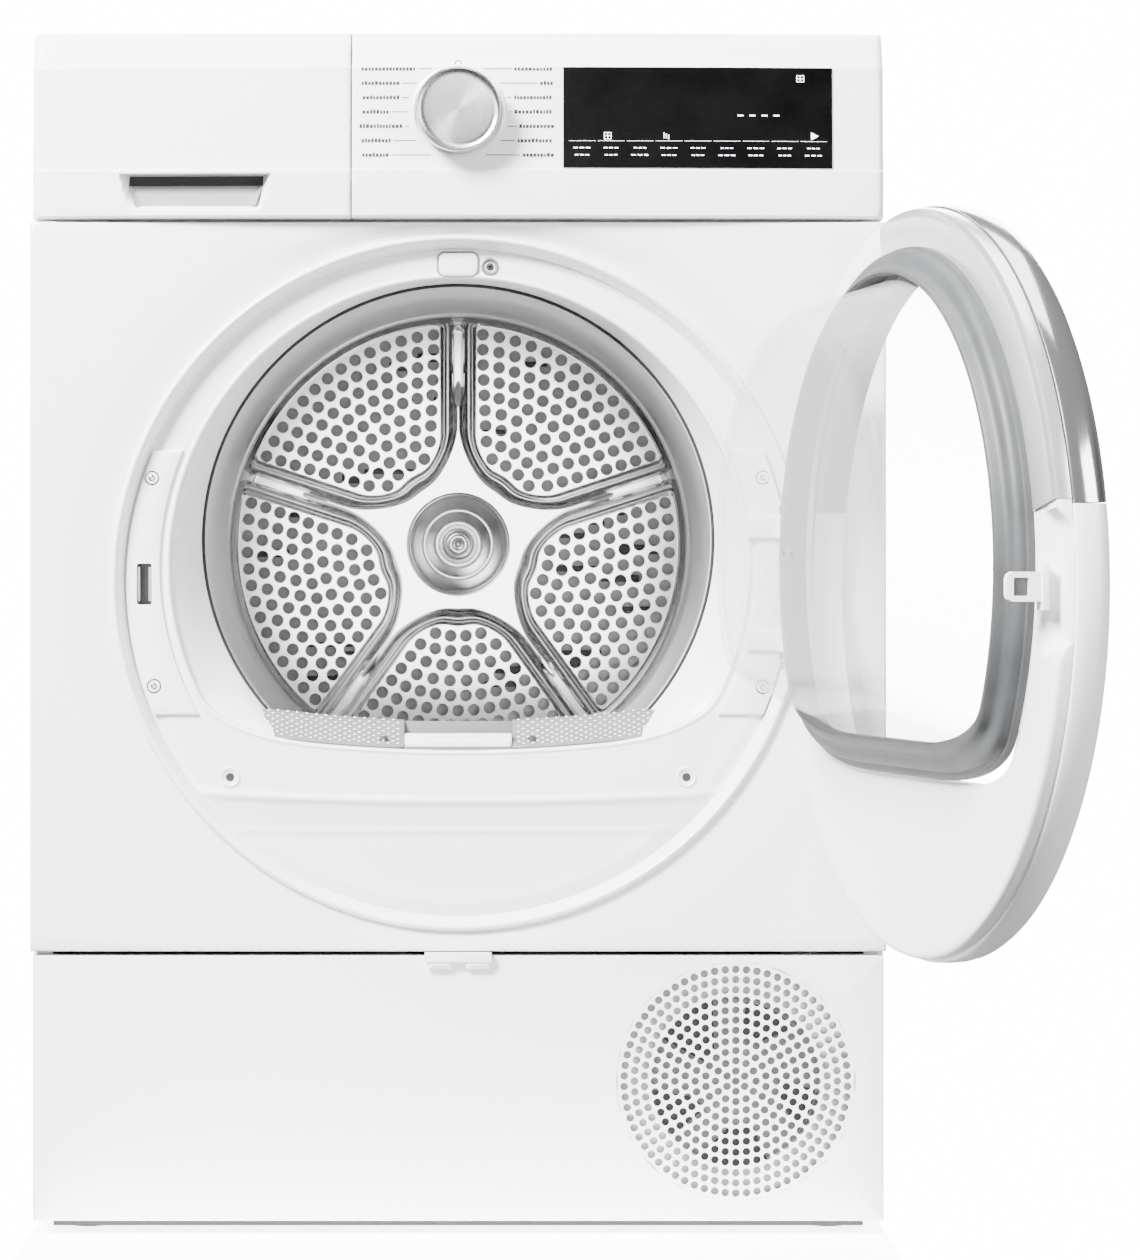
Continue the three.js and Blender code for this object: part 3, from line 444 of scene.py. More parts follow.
aim = (CX, CY, .45)
area_light("key", (CX - 1.8, CY - 1.9, 2.7), aim, (1.1, 1.1), 930)
area_light("fill", (CX + 2.6, CY - 2.2, 1.3), aim, (1.2, 2.2), 130)
area_light("top", (CX, CY + .2, 2.9), aim, (2.4, 2.0), 130)
area_light("back", (CX + .8, CY + 3.0, 2.0), aim, (2.0, 1.6), 160)


def studio_world():
    """A dim room with a bright wall behind the camera; the camera itself sees a pure white ground."""
    world = bpy.data.worlds.new("studio")
    world.use_nodes = True
    graph = Graph(world.node_tree)
    direction = graph.add("TexCoord", {}, "Generated")

    def toward(axis, low, high, start, end):
        dot = graph.add("VectorMath", {0: direction, 1: axis}, "Value", operation="DOT_PRODUCT")
        return graph.ramp(dot, start, end, low, high, interpolation_type="SMOOTHSTEP")

    total = toward((0, -1, 0), .95, .99, .36, 8.0)             # the wall behind the camera
    for shade in (((.136, -.968, .208), .984, .996, 1.0, .06),    # the dark gap that the display mirrors
                  ((1, 0, 0), .8, .95, 1.0, .3), ((-1, 0, 0), .86, .97, 1.0, .35),
                  ((0, -.6, -.8), .8, .97, 1.0, .45)):
        total = graph.add("Math", {0: total, 1: toward(*shade)}, operation="MULTIPLY")
    light = graph.tree.nodes["Background"]
    graph.fill(light, {"Strength": total, "Color": (1, 1, 1, 1)})
    ground = graph.add("Background", {"Color": (1, 1, 1, 1), "Strength": 16})
    seen = graph.add("LightPath", {}, "Is Camera Ray")
    mix = graph.add("MixShader", {0: seen, 1: light.outputs[0], 2: ground})
    graph.fill(graph.tree.nodes["World Output"], {"Surface": mix})
    bpy.context.scene.world = world


studio_world()

floor_mesh = bpy.data.meshes.new("floor")
corners = [(-.3, -.1), (.3, -.1), (.3, .6), (-.3, .6)]
floor_mesh.from_pydata([(CX + x, CY + y, 0) for x, y in corners], [], [(0, 1, 2, 3)])
floor = bpy.data.objects.new("floor", floor_mesh)
bpy.context.collection.objects.link(floor)
floor_look = surface("pale_floor", (.9, .9, .9), .6, vary=.004, scale=2, bump=.005, grain=60)
floor_inputs = floor_look.node_tree.nodes["Principled BSDF"].inputs
floor_inputs["Emission Color"].default_value = (1, 1, 1, 1)
floor_inputs["Emission Strength"].default_value = 6.0
floor.data.materials.append(floor_look)


# ---------------------------------------------------------------- front panel
def ray_to_rect(angle, half, low, high, centre):
    c, s = math.cos(angle), math.sin(angle)
    tx = half / abs(c) if abs(c) > 1e-9 else 1e9
    tz = (high - centre) / s if s > 1e-9 else ((low - centre) / s if s < -1e-9 else 1e9)
    return min(tx, tz)


def angles_with_corners(count, half, low, high, centre):
    corners = [math.atan2(z - centre, x) % TAU for x in (-half, half) for z in (low, high)]
    values = [TAU * i / count for i in range(count)]
    values = [v for v in values if min(abs(v - c) for c in corners) > TAU / count * .45]
    return sorted(values + corners)


def front_panel():
    angles = angles_with_corners(264, HALF, P_LOW, P_TOP, HOLE_Z)
    rings = []

    def ring(fn):
        rings.append([fn(a) for a in angles])

    def at(a, r, y):
        return (r * math.cos(a), y, HOLE_Z + r * math.sin(a))

    lip = ((-4.5, 14), (-4.4, 12.2), (-4.0, 10.6), (-.6, 3.4), (.4, 1.4), (1.3, .2), (2.3, -.3), (3.3, -.1),
           (4.2, .7), (4.9, 1.8))
    for out, y in lip:
        ring(lambda a, r=HOLE_R + out, y=y: at(a, r, y))
    inner = HOLE_R + 5.4
    for i in range(15):
        t = (i / 14) ** 1.3

        def point(a, t=t):
            outer = ray_to_rect(a, HALF - 2.2, P_LOW + 1.2, P_TOP - 1.2, HOLE_Z)
            r = inner + (outer - inner) * t
            away, narrow = float(smooth((r - inner + 8) / 50)), outer - inner < 45
            dish = 4.4 * (1 - away) * (1 - float(smooth((t - .1) / .85)) * narrow)
            return at(a, r, dish * (1 - float(smooth((t - .6) / .4))))
        ring(point)
    for i, k, y in ((1.2, .5, .35), (.3, .15, 1.2), (0, 0, 2.4), (0, 0, 18)):    # the folded outer edge
        ring(lambda a, i=i, k=k, y=y: at(a, ray_to_rect(a, HALF - i, P_LOW + k, P_TOP - k, HOLE_Z), y))
    shape = Shape().loft(rings)
    shape.build("front_panel_skin", "enamel", "cabinet", "enamel", ["front_panel"], smooth=40)


front_panel()


# ---------------------------------------------------------------- kick panel with its perforated vent
VENT_R = 83.5                              # the perforated disc in the kick panel


def vent_holes(pitch=7.1, radius=2.95, rings=11):
    holes = [(FAN[0], FAN[2], radius)]
    for k in range(1, rings + 1):
        for i in range(6 * k):
            a = TAU * (i + .5 * (k % 2)) / (6 * k)
            holes.append((FAN[0] + k * pitch * math.cos(a), FAN[2] + k * pitch * math.sin(a), radius))
    return holes


def kick_panel():
    (x0, y0, z0), (x1, _, z1) = span("kick_panel")
    half = (x1 - x0) / 2
    outer = rounded(-half + 1.6, half - 1.6, z0 + 1.6, z1 - 1.6, .8, 2)
    shape = Shape()
    ring = circle(FAN[0], FAN[2], VENT_R, 96)
    points, kept = sheet([outer, ring], lambda x, z: math.hypot(x - FAN[0], z - FAN[2]) > VENT_R - .5)
    shape.add([(p.x, y0, p.y) for p in points], kept)
    perforated(shape, ring, vent_holes(), y0, y0 + 1.6, .2, 14)
    edge = [(0, y0), (-.9, y0 + .25), (-1.5, y0 + .9), (-1.6, y0 + 1.8), (-1.6, y0 + 12)]
    shape.loft([[(x, y, z) for x, z in inset_outline(np.array(outer), i)] for i, y in edge])
    shape.build("kick_panel_skin", "enamel", "cabinet", "enamel", ["kick_panel"], smooth=30)
    ring = Shape().lathe([(59, 9), (60, 5.6), (62, 5), (84, 4.6), (86, 2)], FAN[0], FAN[2], 64, y0=y0)
    ring.build("vent_ring", "duct", "cabinet", "enamel", smooth=40)
    plate = Shape().lathe([(.01, 8.4), (20, 8), (60, 9)], FAN[0], FAN[2], 64, y0=y0)
    plate.build("vent_backing", "liner", "cabinet", "galvanised", smooth=40)
    fan = Shape()
    blades = ((128, 22, 26, 58), (62, 20, 30, 55), (204, 17, 30, 58), (268, 24, 32, 60), (338, 16, 32, 56))
    for middle, half, r0, r1 in blades:       # each blade's middle and half angle in degrees, and its reach
        outline = []
        for t in np.linspace(-1, 1, 12):
            a = math.radians(middle + half * t)
            outline.append((FAN[0] + r1 * math.cos(a), FAN[2] + r1 * math.sin(a)))
        for t in np.linspace(1, -1, 8):
            a = math.radians(middle + 9 + half * .55 * t)
            outline.append((FAN[0] + r0 * math.cos(a), FAN[2] + r0 * math.sin(a)))
        fan.prism(outline, y0 + 5.4, y0 + 6.6)
    fan.build("vent_fan_blades", "paint", "cooling_rotor", "dark_plastic", smooth=30)


kick_panel()


def kick_clip():
    shape = Shape()
    shape.block(-23.5, 23.5, -4, 1.7, 191, 198, 1.2)
    for side in (-1, 1):
        x0, x1 = sorted((side * 5, side * 21.5))
        shape.block(x0, x1, -2.5, 1.7, 186.8, 191.4, .9)
        shape.block(x0 + 2, x1 - 2, -3.3, -2.2, 188.6, 190.4, .4)
    shape.build("kick_clip_tab", "plastic", "cabinet", "white_plastic", ["kick_panel_clip"])


kick_clip()


# ---------------------------------------------------------------- fascia
FASCIA_HALF, SPLIT = 297.0, -74.5          # half the width, and the seam beside the drawer
F_LOW, F_TOP, F_BACK, SHELF_BACK = 710, 841.5, 43.5, 22
PROFILE = [(710, 2.6), (710.6, .8), (712, .0), (728, -.9), (741.2, -1.6), (742.8, -1.5), (743.8, -.6),
           (745, -.35), (760, .35), (800, 2.2), (813.6, 2.9), (815, 2.9), (816.2, 3.4), (817.6, 4.4),
           (826, 8.2), (834, 11.8), (838.2, 14), (840.6, 17), (841.5, 21)]


def face_y(x, z):
    zs = [p[0] for p in PROFILE]
    ys = [p[1] for p in PROFILE]
    y = float(np.interp(z, zs, ys))
    bow = 10 * (1 - (x / FASCIA_HALF) ** 2)
    end = max(0.0, abs(x) - (FASCIA_HALF - 5)) / 5
    return y - bow * (44 - y) / 44 + 3.2 * end * end


def fascia_grid(shape, xs, zs, offset=None):
    rings = []
    for z in zs:
        rings.append([(x, face_y(x, z) + (offset(x, z) if offset else 0), z) for x in xs])
    shape.loft(rings, wrap=False)


def seam_offset(x0, x1):
    return lambda x, z: 1.6 * math.exp(-(abs(x - x0) / .9)) + 1.6 * math.exp(-(abs(x - x1) / .9))


def spread(x0, x1, n, edge=(.0, .5, 1.2, 2.2, 4.0)):
    middle = list(np.linspace(x0 + 6, x1 - 6, n))
    return [x0 + e for e in edge] + middle + [x1 - e for e in reversed(edge)]


def fascia_body(shape, x0, x1):
    """Top, underside and end walls that carry the face back to the cabinet."""
    xs = spread(x0, x1, 22)
    top = [(face_y, F_TOP), (lambda x, z: F_BACK, F_TOP), (lambda x, z: F_BACK, F_TOP - 3.5)]
    under = [(face_y, F_LOW), (lambda x, z: SHELF_BACK, F_LOW), (lambda x, z: SHELF_BACK, F_LOW + 4)]
    for side in (top, under):
        shape.loft([[(x, y_at(x, z), z) for x in xs] for y_at, z in side], wrap=False)
    for x in (x0, x1):
        outline = [(x, face_y(x, z) + 1.6, z) for z, _ in PROFILE]
        outline += [(x, F_BACK, F_TOP), (x, F_BACK, 800), (x, SHELF_BACK, 740), (x, SHELF_BACK, F_LOW)]
        shape.cap(outline)


Z_ROWS = sorted(set([p[0] for p in PROFILE] + [720, 734, 752, 770, 780, 790, 806, 822, 830]))


def control_panel():
    x0, x1 = SPLIT + .5, FASCIA_HALF
    shape = Shape()
    edge = seam_offset(x0, x1 + 50)
    fascia_grid(shape, spread(x0, x1, 40), Z_ROWS, edge)
    fascia_body(shape, x0, x1)
    shape.build("control_fascia", "fascia", "cabinet", "white_plastic", ["control_panel"], smooth=24)


# The finger scoop under the drawer's lip
SCOOP = {"x": -183.4, "half": 51.6, "top": 740.6, "low": 714.6, "depth": 17.0}


def scoop_depth(x, z):
    up = (z - SCOOP["low"]) / (SCOOP["top"] - SCOOP["low"])
    edge = SCOOP["half"] - 6.5 * (1 - up)
    across = 1 - float(smooth((abs(x - SCOOP["x"]) - edge + 5) / 7))
    return SCOOP["depth"] * across * float(smooth(up * .96 + .04)) ** .8 if 0 <= up <= 1 else 0.0


def drawer_front():
    x0, x1 = -FASCIA_HALF, SPLIT - .5
    shape = Shape()
    edge = seam_offset(x0 - 50, x1)
    xs = sorted(set(spread(x0, x1, 24) + list(np.linspace(SCOOP["x"] - 64, SCOOP["x"] + 64, 60))))
    low_rows = list(np.linspace(SCOOP["low"], SCOOP["top"], 18))
    rows = sorted(set([710, 710.6, 712] + low_rows))
    fascia_grid(shape, xs, rows, lambda x, z: edge(x, z) + scoop_depth(x, z))
    lip = [[(x, face_y(x, SCOOP["top"]) + edge(x, 0) + scoop_depth(x, SCOOP["top"]), SCOOP["top"])
            for x in xs],
           [(x, face_y(x, 741.2) + edge(x, 0) + min(1.6, scoop_depth(x, SCOOP["top"])), 740.4) for x in xs],
           [(x, face_y(x, 741.2) + edge(x, 0), 741.2) for x in xs]]
    shape.loft(lip, wrap=False)
    fascia_grid(shape, xs, [z for z in Z_ROWS if z > 741], edge)
    fascia_body(shape, x0, x1)
    shape.build("drawer_fascia", "fascia", "water_drawer", "white_plastic", ["drawer_front"], smooth=24)
    # The top of the scoop is lined with near-black and its floor with shaded grey: painted shade under the lip.
    liner = Shape()
    xs = list(np.linspace(SCOOP["x"] - 47, SCOOP["x"] + 47, 30))
    rows = np.linspace(733.4, 740.4, 5)
    liner.loft([[(x, face_y(x, z) + scoop_depth(x, z) - .35, z) for x in xs] for z in rows], wrap=False)
    bowl_side = Shape()
    rows = np.linspace(718.6, 733.4, 9)
    bowl_side.loft([[(SCOOP["x"] + (x - SCOOP["x"]) * (.9 + .1 * (z - 718) / 16),
                      face_y(x, z) + scoop_depth(x, z) - .3, z) for x in xs] for z in rows], wrap=False)
    bowl_side.build("drawer_grip_floor", "tint", "water_drawer", "white_plastic", smooth=40, recalc=False)
    liner.build("drawer_grip_painted_shade", "shadow", "water_drawer", "white_plastic", smooth=40, recalc=False)


control_panel()
drawer_front()


# ---------------------------------------------------------------- display and dial
def on_face(shape, x0, x1, z0, z1, lift, thick):
    """A thin plate that lies on the curved fascia."""
    nx = max(2, int((x1 - x0) / 8) + 2)
    nz = max(2, int((z1 - z0) / 12) + 2)
    xs, zs = np.linspace(x0, x1, nx), np.linspace(z0, z1, nz)
    front = [[(x, face_y(x, z) - lift, z) for x in xs] for z in zs]
    shape.loft(front, wrap=False)
    border = [(x, z0) for x in xs] + [(x1, z) for z in zs[1:]]
    border += [(x, z1) for x in xs[::-1][1:]] + [(x0, z) for z in zs[::-1][1:-1]]
    shape.loft([[(x, face_y(x, z) - lift, z) for x, z in border],
                [(x, face_y(x, z) - lift + thick, z) for x, z in border]])


D_X0, D_X1, D_Z0, D_Z1 = 73.1, 260.9, 744.7, 815.2    # the display's edges


def display():
    shape = Shape()
    on_face(shape, D_X0, D_X1, D_Z0, D_Z1, 1.0, 1.6)
    shape.build("display_glass_front", "display", "cabinet", "display_glass", ["display_window"], smooth=30)
    lit = Shape()
    lift = 1.25
    keys = 9
    step = (D_X1 - D_X0 - 6) / keys
    for i in range(keys):
        x = D_X0 + 3 + step * (i + .5)
        on_face(lit, x - step * .46, x + step * .46, 763.4, 763.6, lift, .2)
        for row, z in enumerate((758.6, 753.6)):
            wide = step * (.3 - .04 * ((i + row) % 3))
            for k in range(3):
                left = x - wide + k * wide * .72
                on_face(lit, left, left + wide * .5, z - .4, z + .4, lift, .2)
    for x in (193.6, 202, 210.4, 218.8):
        on_face(lit, x + 1, x + 5, 781, 782, lift, .2)
    frame_bars = ((-2.2, 2.2, 2.0, 2.4), (-2.2, 2.2, -2.4, -2.0), (-2.6, -2.2, -2.4, 2.4),
                  (2.2, 2.6, -2.4, 2.4), (-.2, .2, -2, 2), (-2.2, 2.2, -.2, .2))
    for x, z in ((104, 767), (238.6, 807.5)):
        for x0, x1, z0, z1 in frame_bars:
            on_face(lit, x + x0, x + x1, z + z0, z + z1, lift, .2)
    for k in range(8):
        h = 2.6 * (1 - k / 8)
        on_face(lit, 246 + k * .62, 246 + (k + 1) * .62, 767.2 - h, 767.2 + h, lift, .2)
    for k in range(3):
        on_face(lit, 143 + k * 1.6, 143.6 + k * 1.6, 765.5 - k * .4, 769.4 - k * .8, lift, .2)
    lit.build("display_marks", "lit", "cabinet", "display_glass", smooth=30)


display()


def dial_marks():
    """Generic marks in place of the programme names: a run of small bars and a lead line to the dial."""
    shape = Shape()
    lift = .12
    rng = np.random.default_rng(3)
    widths = {-1: (38, 27, 27, 19.5, 29, 21, 19.5), 1: (27, 9, 27, 27, 23.5, 24.5, 21)}
    for side in (-1, 1):
        for row in range(7):
            z = KNOB[2] + 30.4 - row * 10.06
            start = max(math.sqrt(max(0.0, 35.5 ** 2 - (z - KNOB[2]) ** 2)), 17.0)
            outer = 68.0 if side < 0 else 66.0
            inner = outer - widths[side][row]
            if inner - 2 > start:
                on_face(shape, *sorted((side * start, side * (inner - 2))), z - .32, z + .32, lift, .1)
            x = inner
            while x < outer - 1:
                wide = rng.uniform(1.3, 2.2)
                tall = rng.choice([1.0, 1.0, 1.5])
                on_face(shape, *sorted((side * x, side * (x + wide))), z - 1.3, z + tall, lift, .1)
                x += wide + .6
    ring = [[(x, face_y(x, z) - lift, z) for x, z in circle(KNOB[0], KNOB[2] + 34.6, r, 20)]
            for r in (1.6, 2.4)]
    shape.loft(ring)
    shape.build("dial_marks", "ink", "cabinet", "white_plastic", smooth=30, recalc=False)
    # A near-black strip just behind the seam beside the drawer: painted shade in the gap.
    seam = Shape()
    on_face(seam, SPLIT - .9, SPLIT + .9, 711, 841, -1.5, .3)
    seam.build("seam_shadow", "shadow", "cabinet", "dark_plastic", smooth=30)


dial_marks()


def dial():
    base = face_y(0, KNOB[2])
    rim = [(33.2, -.1), (33.0, -1.1), (31.6, -1.7), (30.4, -1.4), (29.9, .6), (.5, .8)]
    seat = Shape().lathe(rim, KNOB[0], KNOB[2], 96, y0=base)
    seat.build("dial_seat", "fascia", "cabinet", "white_plastic")
    front = span("program_knob")[0][1]
    cap = [(.01, 1.9), (8, 1.85), (16, 1.7), (23, 1.4), (26.2, 1.1), (27.2, .5), (27.9, .1), (28.6, .25),
           (29.1, .9), (29.4, 2), (29.5, 4)]
    under = [(29.5, 3), (29.2, 2.2), (28.4, 2.0), (6, 2.0)]
    profile = [(r, front + d) for r, d in cap] + [(r, base - d) for r, d in under]
    shape = Shape()
    shape.lathe(profile, KNOB[0], KNOB[2], 128)
    shape.build("dial_cap", "knob", "knob", "silver_trim", ["program_knob"], smooth=28)
    stem = Shape().lathe([(6, base - 2.2), (6, 12), (.01, 12)], KNOB[0], KNOB[2], 32)
    a = math.radians(62)
    mark = Shape()
    along, across = np.array((math.cos(a), math.sin(a))), np.array((-math.sin(a), math.cos(a))) / 2
    near, far = np.array((KNOB[0], KNOB[2])) + 24.6 * along, np.array((KNOB[0], KNOB[2])) + 27.4 * along
    sides = [(near + across, 1.0), (near - across, 1.0), (far - across, .2), (far + across, .2)]
    mark.add([(x, front + sunk, z) for (x, z), sunk in sides], [(0, 1, 2, 3)])
    mark.build("dial_pointer", "ink", "knob", "silver_trim", recalc=False)
    stem.build("dial_stem", "chrome", "knob", "silver_trim")


dial()


# ---------------------------------------------------------------- door surround
def mouth_reach(angle, grow=0.0):
    """Distance from the porthole's centre to the D-shaped mouth, in the direction of angle."""
    c, s = math.cos(angle), math.sin(angle)
    d = MOUTH_Z - HOLE_Z
    r = MOUTH_R + grow
    t = s * d + math.sqrt(max(0.0, (s * d) ** 2 - d * d + r * r))
    if s < -1e-6:
        bend = c * c / 2050
        drop = HOLE_Z - SILL + grow * .7
        line = drop / -s if bend < 1e-5 else (s + math.sqrt(s * s + 4 * bend * drop)) / (2 * bend)
        k = 42.0
        h = max(0.0, min(1.0, .5 + .5 * (line - t) / k))
        t = line * (1 - h) + t * h - k * h * (1 - h)
    return t


def surround_y(x, z):
    """Face of the surround: flat, with two creases below the mouth and a sloping fold between them."""
    y = 12.0
    r = math.hypot(x, z - HOLE_Z)
    if z < 340:
        fade = float(smooth((203 - abs(x)) / 22))
        first = 301.6 + 5.6 * (x / 181) ** 2
        y -= 2.0 * fade * math.exp(-((z - first - 1.2) / 2.6) ** 2)
        y += 2.6 * fade * min(1.0, max(0.0, (first - z) / (first - 283.4)))
        y -= 1.1 * fade * math.exp(-((z - 282) / 1.7) ** 2)
    y += 1.6 * float(smooth((r - 224) / 9))
    return y


def surround_face(angles):
    """The face of the surround, with a gap over the lock's slot, and the lip that turns into the mouth."""
    rings = []
    outer = HOLE_R - .6
    rings.append([(outer * math.cos(a), 16, HOLE_Z + outer * math.sin(a)) for a in angles])
    for i in range(86):
        t = i / 85
        row = []
        for a in angles:
            inner = mouth_reach(a, 7.5)
            r = outer + (inner - outer) * t
            x, z = r * math.cos(a), HOLE_Z + r * math.sin(a)
            row.append((x, surround_y(x, z) + (1.2 if i == 0 else 0), z))
        rings.append(row)
    for grow, drop in ((6.2, .15), (4.8, .1), (3.6, -.5), (2.6, -.7), (1.6, -.2), (.8, .9), (.3, 2.6),
                       (0, 4.6)):
        row = []
        for a in angles:
            r = mouth_reach(a, grow)
            x, z = r * math.cos(a), HOLE_Z + r * math.sin(a)
            row.append((x, surround_y(x, z) + drop, z))
        rings.append(row)
    shape = Shape().loft(rings)

    def over_slot(face):
        x, _, z = (sum(shape.verts[i][k] for i in face) / len(face) for k in range(3))
        return -228 < x < -212.5 and 438 < z < 472

    shape.faces = [face for face in shape.faces if not over_slot(face)]
    return shape


def throat(angles):
    """Rows of the funnel from the mouth back to the drum's round opening; the filter fills its bottom."""
    throat_rows = 14
    first = [a for a in angles if HOLE_Z + mouth_reach(a) * math.sin(a) > SILL + 9
             or abs(mouth_reach(a) * math.cos(a)) > 134]
    arc = sorted(first, key=lambda a: (a - math.radians(-90)) % TAU)
    rows = []
    for k in range(throat_rows + 1):
        t = k / throat_rows
        y = 16.6 + (THROAT_Y - 16.6) * t
        row = []
        for a in arc:
            r0 = mouth_reach(a)
            x0, z0 = r0 * math.cos(a), HOLE_Z + r0 * math.sin(a)
            b = math.atan2(z0 - MOUTH_Z, x0)
            x1, z1 = (THROAT_R + 1.5) * math.cos(b), DRUM[2] + (THROAT_R + 1.5) * math.sin(b)
            e = t ** .85
            row.append((x0 + (x1 - x0) * e, y, z0 + (z1 - z0) * e))
        rows.append(row)
    back = []
    for a in arc:
        r0 = mouth_reach(a)
        b = math.atan2(HOLE_Z + r0 * math.sin(a) - MOUTH_Z, r0 * math.cos(a))
        back.append(((THROAT_R + 3) * math.cos(b), THROAT_Y, DRUM[2] + (THROAT_R + 3) * math.sin(b)))
    rows.append(back)
    return rows


def surround():
    angles = [TAU * i / 360 for i in range(360)]
    shape = surround_face(angles).loft(throat(angles), wrap=False)
    shape.build("surround_skin", "bezel", "cabinet", "white_plastic", ["door_surround"], smooth=45,
                recalc=False)


def lamp_and_screws():
    face = 12
    window = rounded(-13.6, 13.4, 671.6, 686.8, 4.2)
    cover = Shape().prism(window, face - 1.3, face + 1, .5)
    cover.build("lamp_cover", "plastic", "cabinet", "clear_glass", ["lamp_lens"])
    window = np.array(window)
    frame_ring = Shape().loft([[(x, y, z) for x, z in inset_outline(window, i)] for i, y in
                               ((-1.6, face + .4), (-1.3, face - .7), (-.7, face - .9), (-.3, face - .2))])
    sensor = (22.2, 677.4)
    frame_ring.lathe([(6.4, .3), (6.1, -.7), (5.2, -1.0), (4.6, -.3), (2.8, .2)], *sensor, 32, y0=face)
    frame_ring.build("lamp_frame", "grey", "cabinet", "white_plastic")
    # The surround's screw heads are near-black: painted shade in their sunk holes. The sensor disc shares that
    # material.
    heads, cups = Shape(), Shape()
    heads.lathe([(2.8, -.1), (2.2, -.8), (1.0, -1.0), (.9, 0), (.01, 0)], *sensor, 20, y0=face)
    for side in (-1, 1):
        spot = (side * 160, 319.6)
        heads.lathe([(3.0, -.15), (2.8, -.35), (.01, -.3)], *spot, 20, y0=face)
        cups.lathe([(7.4, .1), (6.9, -.8), (6.0, -.9), (5.2, -.3), (3.4, -.1), (2.4, .25)], *spot, 32,
                   y0=face)
    heads.build("surround_screws", "shadow", "cabinet", "polished_steel")
    cups.build("surround_screw_cups", "bezel", "cabinet", "white_plastic")


surround()
lamp_and_screws()


def wing(sign):
    """The raised plate beside the mouth, with rounded corners and its screws."""
    outer, inner, reach = 232.6, 209.2, 92.5
    angles = np.linspace(-1, 1, 41)
    left = [(sign * math.sqrt(outer ** 2 - (t * reach) ** 2), HOLE_Z + t * reach) for t in angles]
    right = [(sign * math.sqrt(inner ** 2 - (HOLE_Z + t * reach - MOUTH_Z) ** 2), HOLE_Z + t * reach)
             for t in angles]
    outline = left + right[::-1]
    if sign > 0:
        outline = outline[::-1]
    return outline


def wing_plates():
    y0, y1 = 9.4, 11.9
    lock = Shape()
    outline = wing(-1)
    slot = rounded(-225.3, -214.7, 440.6, 469.4, 1.6, 3)
    hole = np.array(slot)
    points, kept = sheet([inset_outline(np.array(outline), .9), slot], lambda x, z: not inside(hole, x, z))
    lock.add([(p.x, y0, p.y) for p in points], kept)
    edge = ((.9, y0), (.3, y0 + .3), (0, y0 + .9), (0, y1))
    lock.loft([[(x, y, z) for x, z in inset_outline(np.array(outline), i)] for i, y in edge])
    lock.loft([[(x, y0, z) for x, z in slot], [(x, y0 + 12, z) for x, z in slot]])
    lock.build("lock_cover", "bezel", "cabinet", "white_plastic", ["lock_plate"], smooth=30)
    # A near-black box behind the slot and grey guides at its sides: painted shade inside the lock's slot.
    well = inset_outline(hole, -.3)
    slot_shade = Shape().loft([[(x, y, z) for x, z in well] for y in (y0 + .8, y0 + 19)])
    slot_shade.cap([(x, y0 + 19, z) for x, z in well])
    slot_shade.build("lock_slot_painted_shade", "shadow", "cabinet", "grey_plastic")
    sides = Shape()
    for x0, x1 in ((-225.1, -223.0), (-217.0, -214.9)):
        sides.block(x0, x1, y0 + 1.0, y0 + 9, 443, 467, .2)
    sides.build("lock_guides", "tint", "cabinet", "grey_plastic")
    plate = Shape().prism(wing(1), y0, y1, .9)
    x, y, _ = HINGE
    for z0, z1 in ((486.4, 503.7), (407.6, 423.5)):
        plate.block(x - 26, x + 4.4, y0 - 3.2, y0 + .4, z0 + 1, z1 - 1, 1.0)
        plate.block(x - 4.4, x + 4.4, y, y0 + .2, z0, z1, 1.0)
        knuckle = [(2.6, z0), (4.0, z0), (4.6, z0 + .6), (4.6, z1 - .6), (4.0, z1), (2.6, z1)]
        plate.loft(post(x, y, knuckle), close=True)
    plate.build("hinge_cover", "bezel", "cabinet", "white_plastic", ["hinge_plate"], smooth=30)
    heads = Shape()
    for sx, sz in ((-214.6, 529.3), (-213.2, 383.5), (213.4, 529.6), (213.4, 383)):
        screw(heads, sx, sz, y0, 2.6, 5.2)
    heads.build("cover_screws", "chrome", "cabinet", "polished_steel")
    rod = [(.01, 394.5), (1.7, 394.5), (2.2, 395.2), (2.2, 516.8), (1.7, 517.5), (.01, 517.5)]
    pin = Shape().loft(post(x, y, rod))
    pin.build("hinge_rod", "chrome", "cabinet", "polished_steel", ["hinge_pin"])


wing_plates()


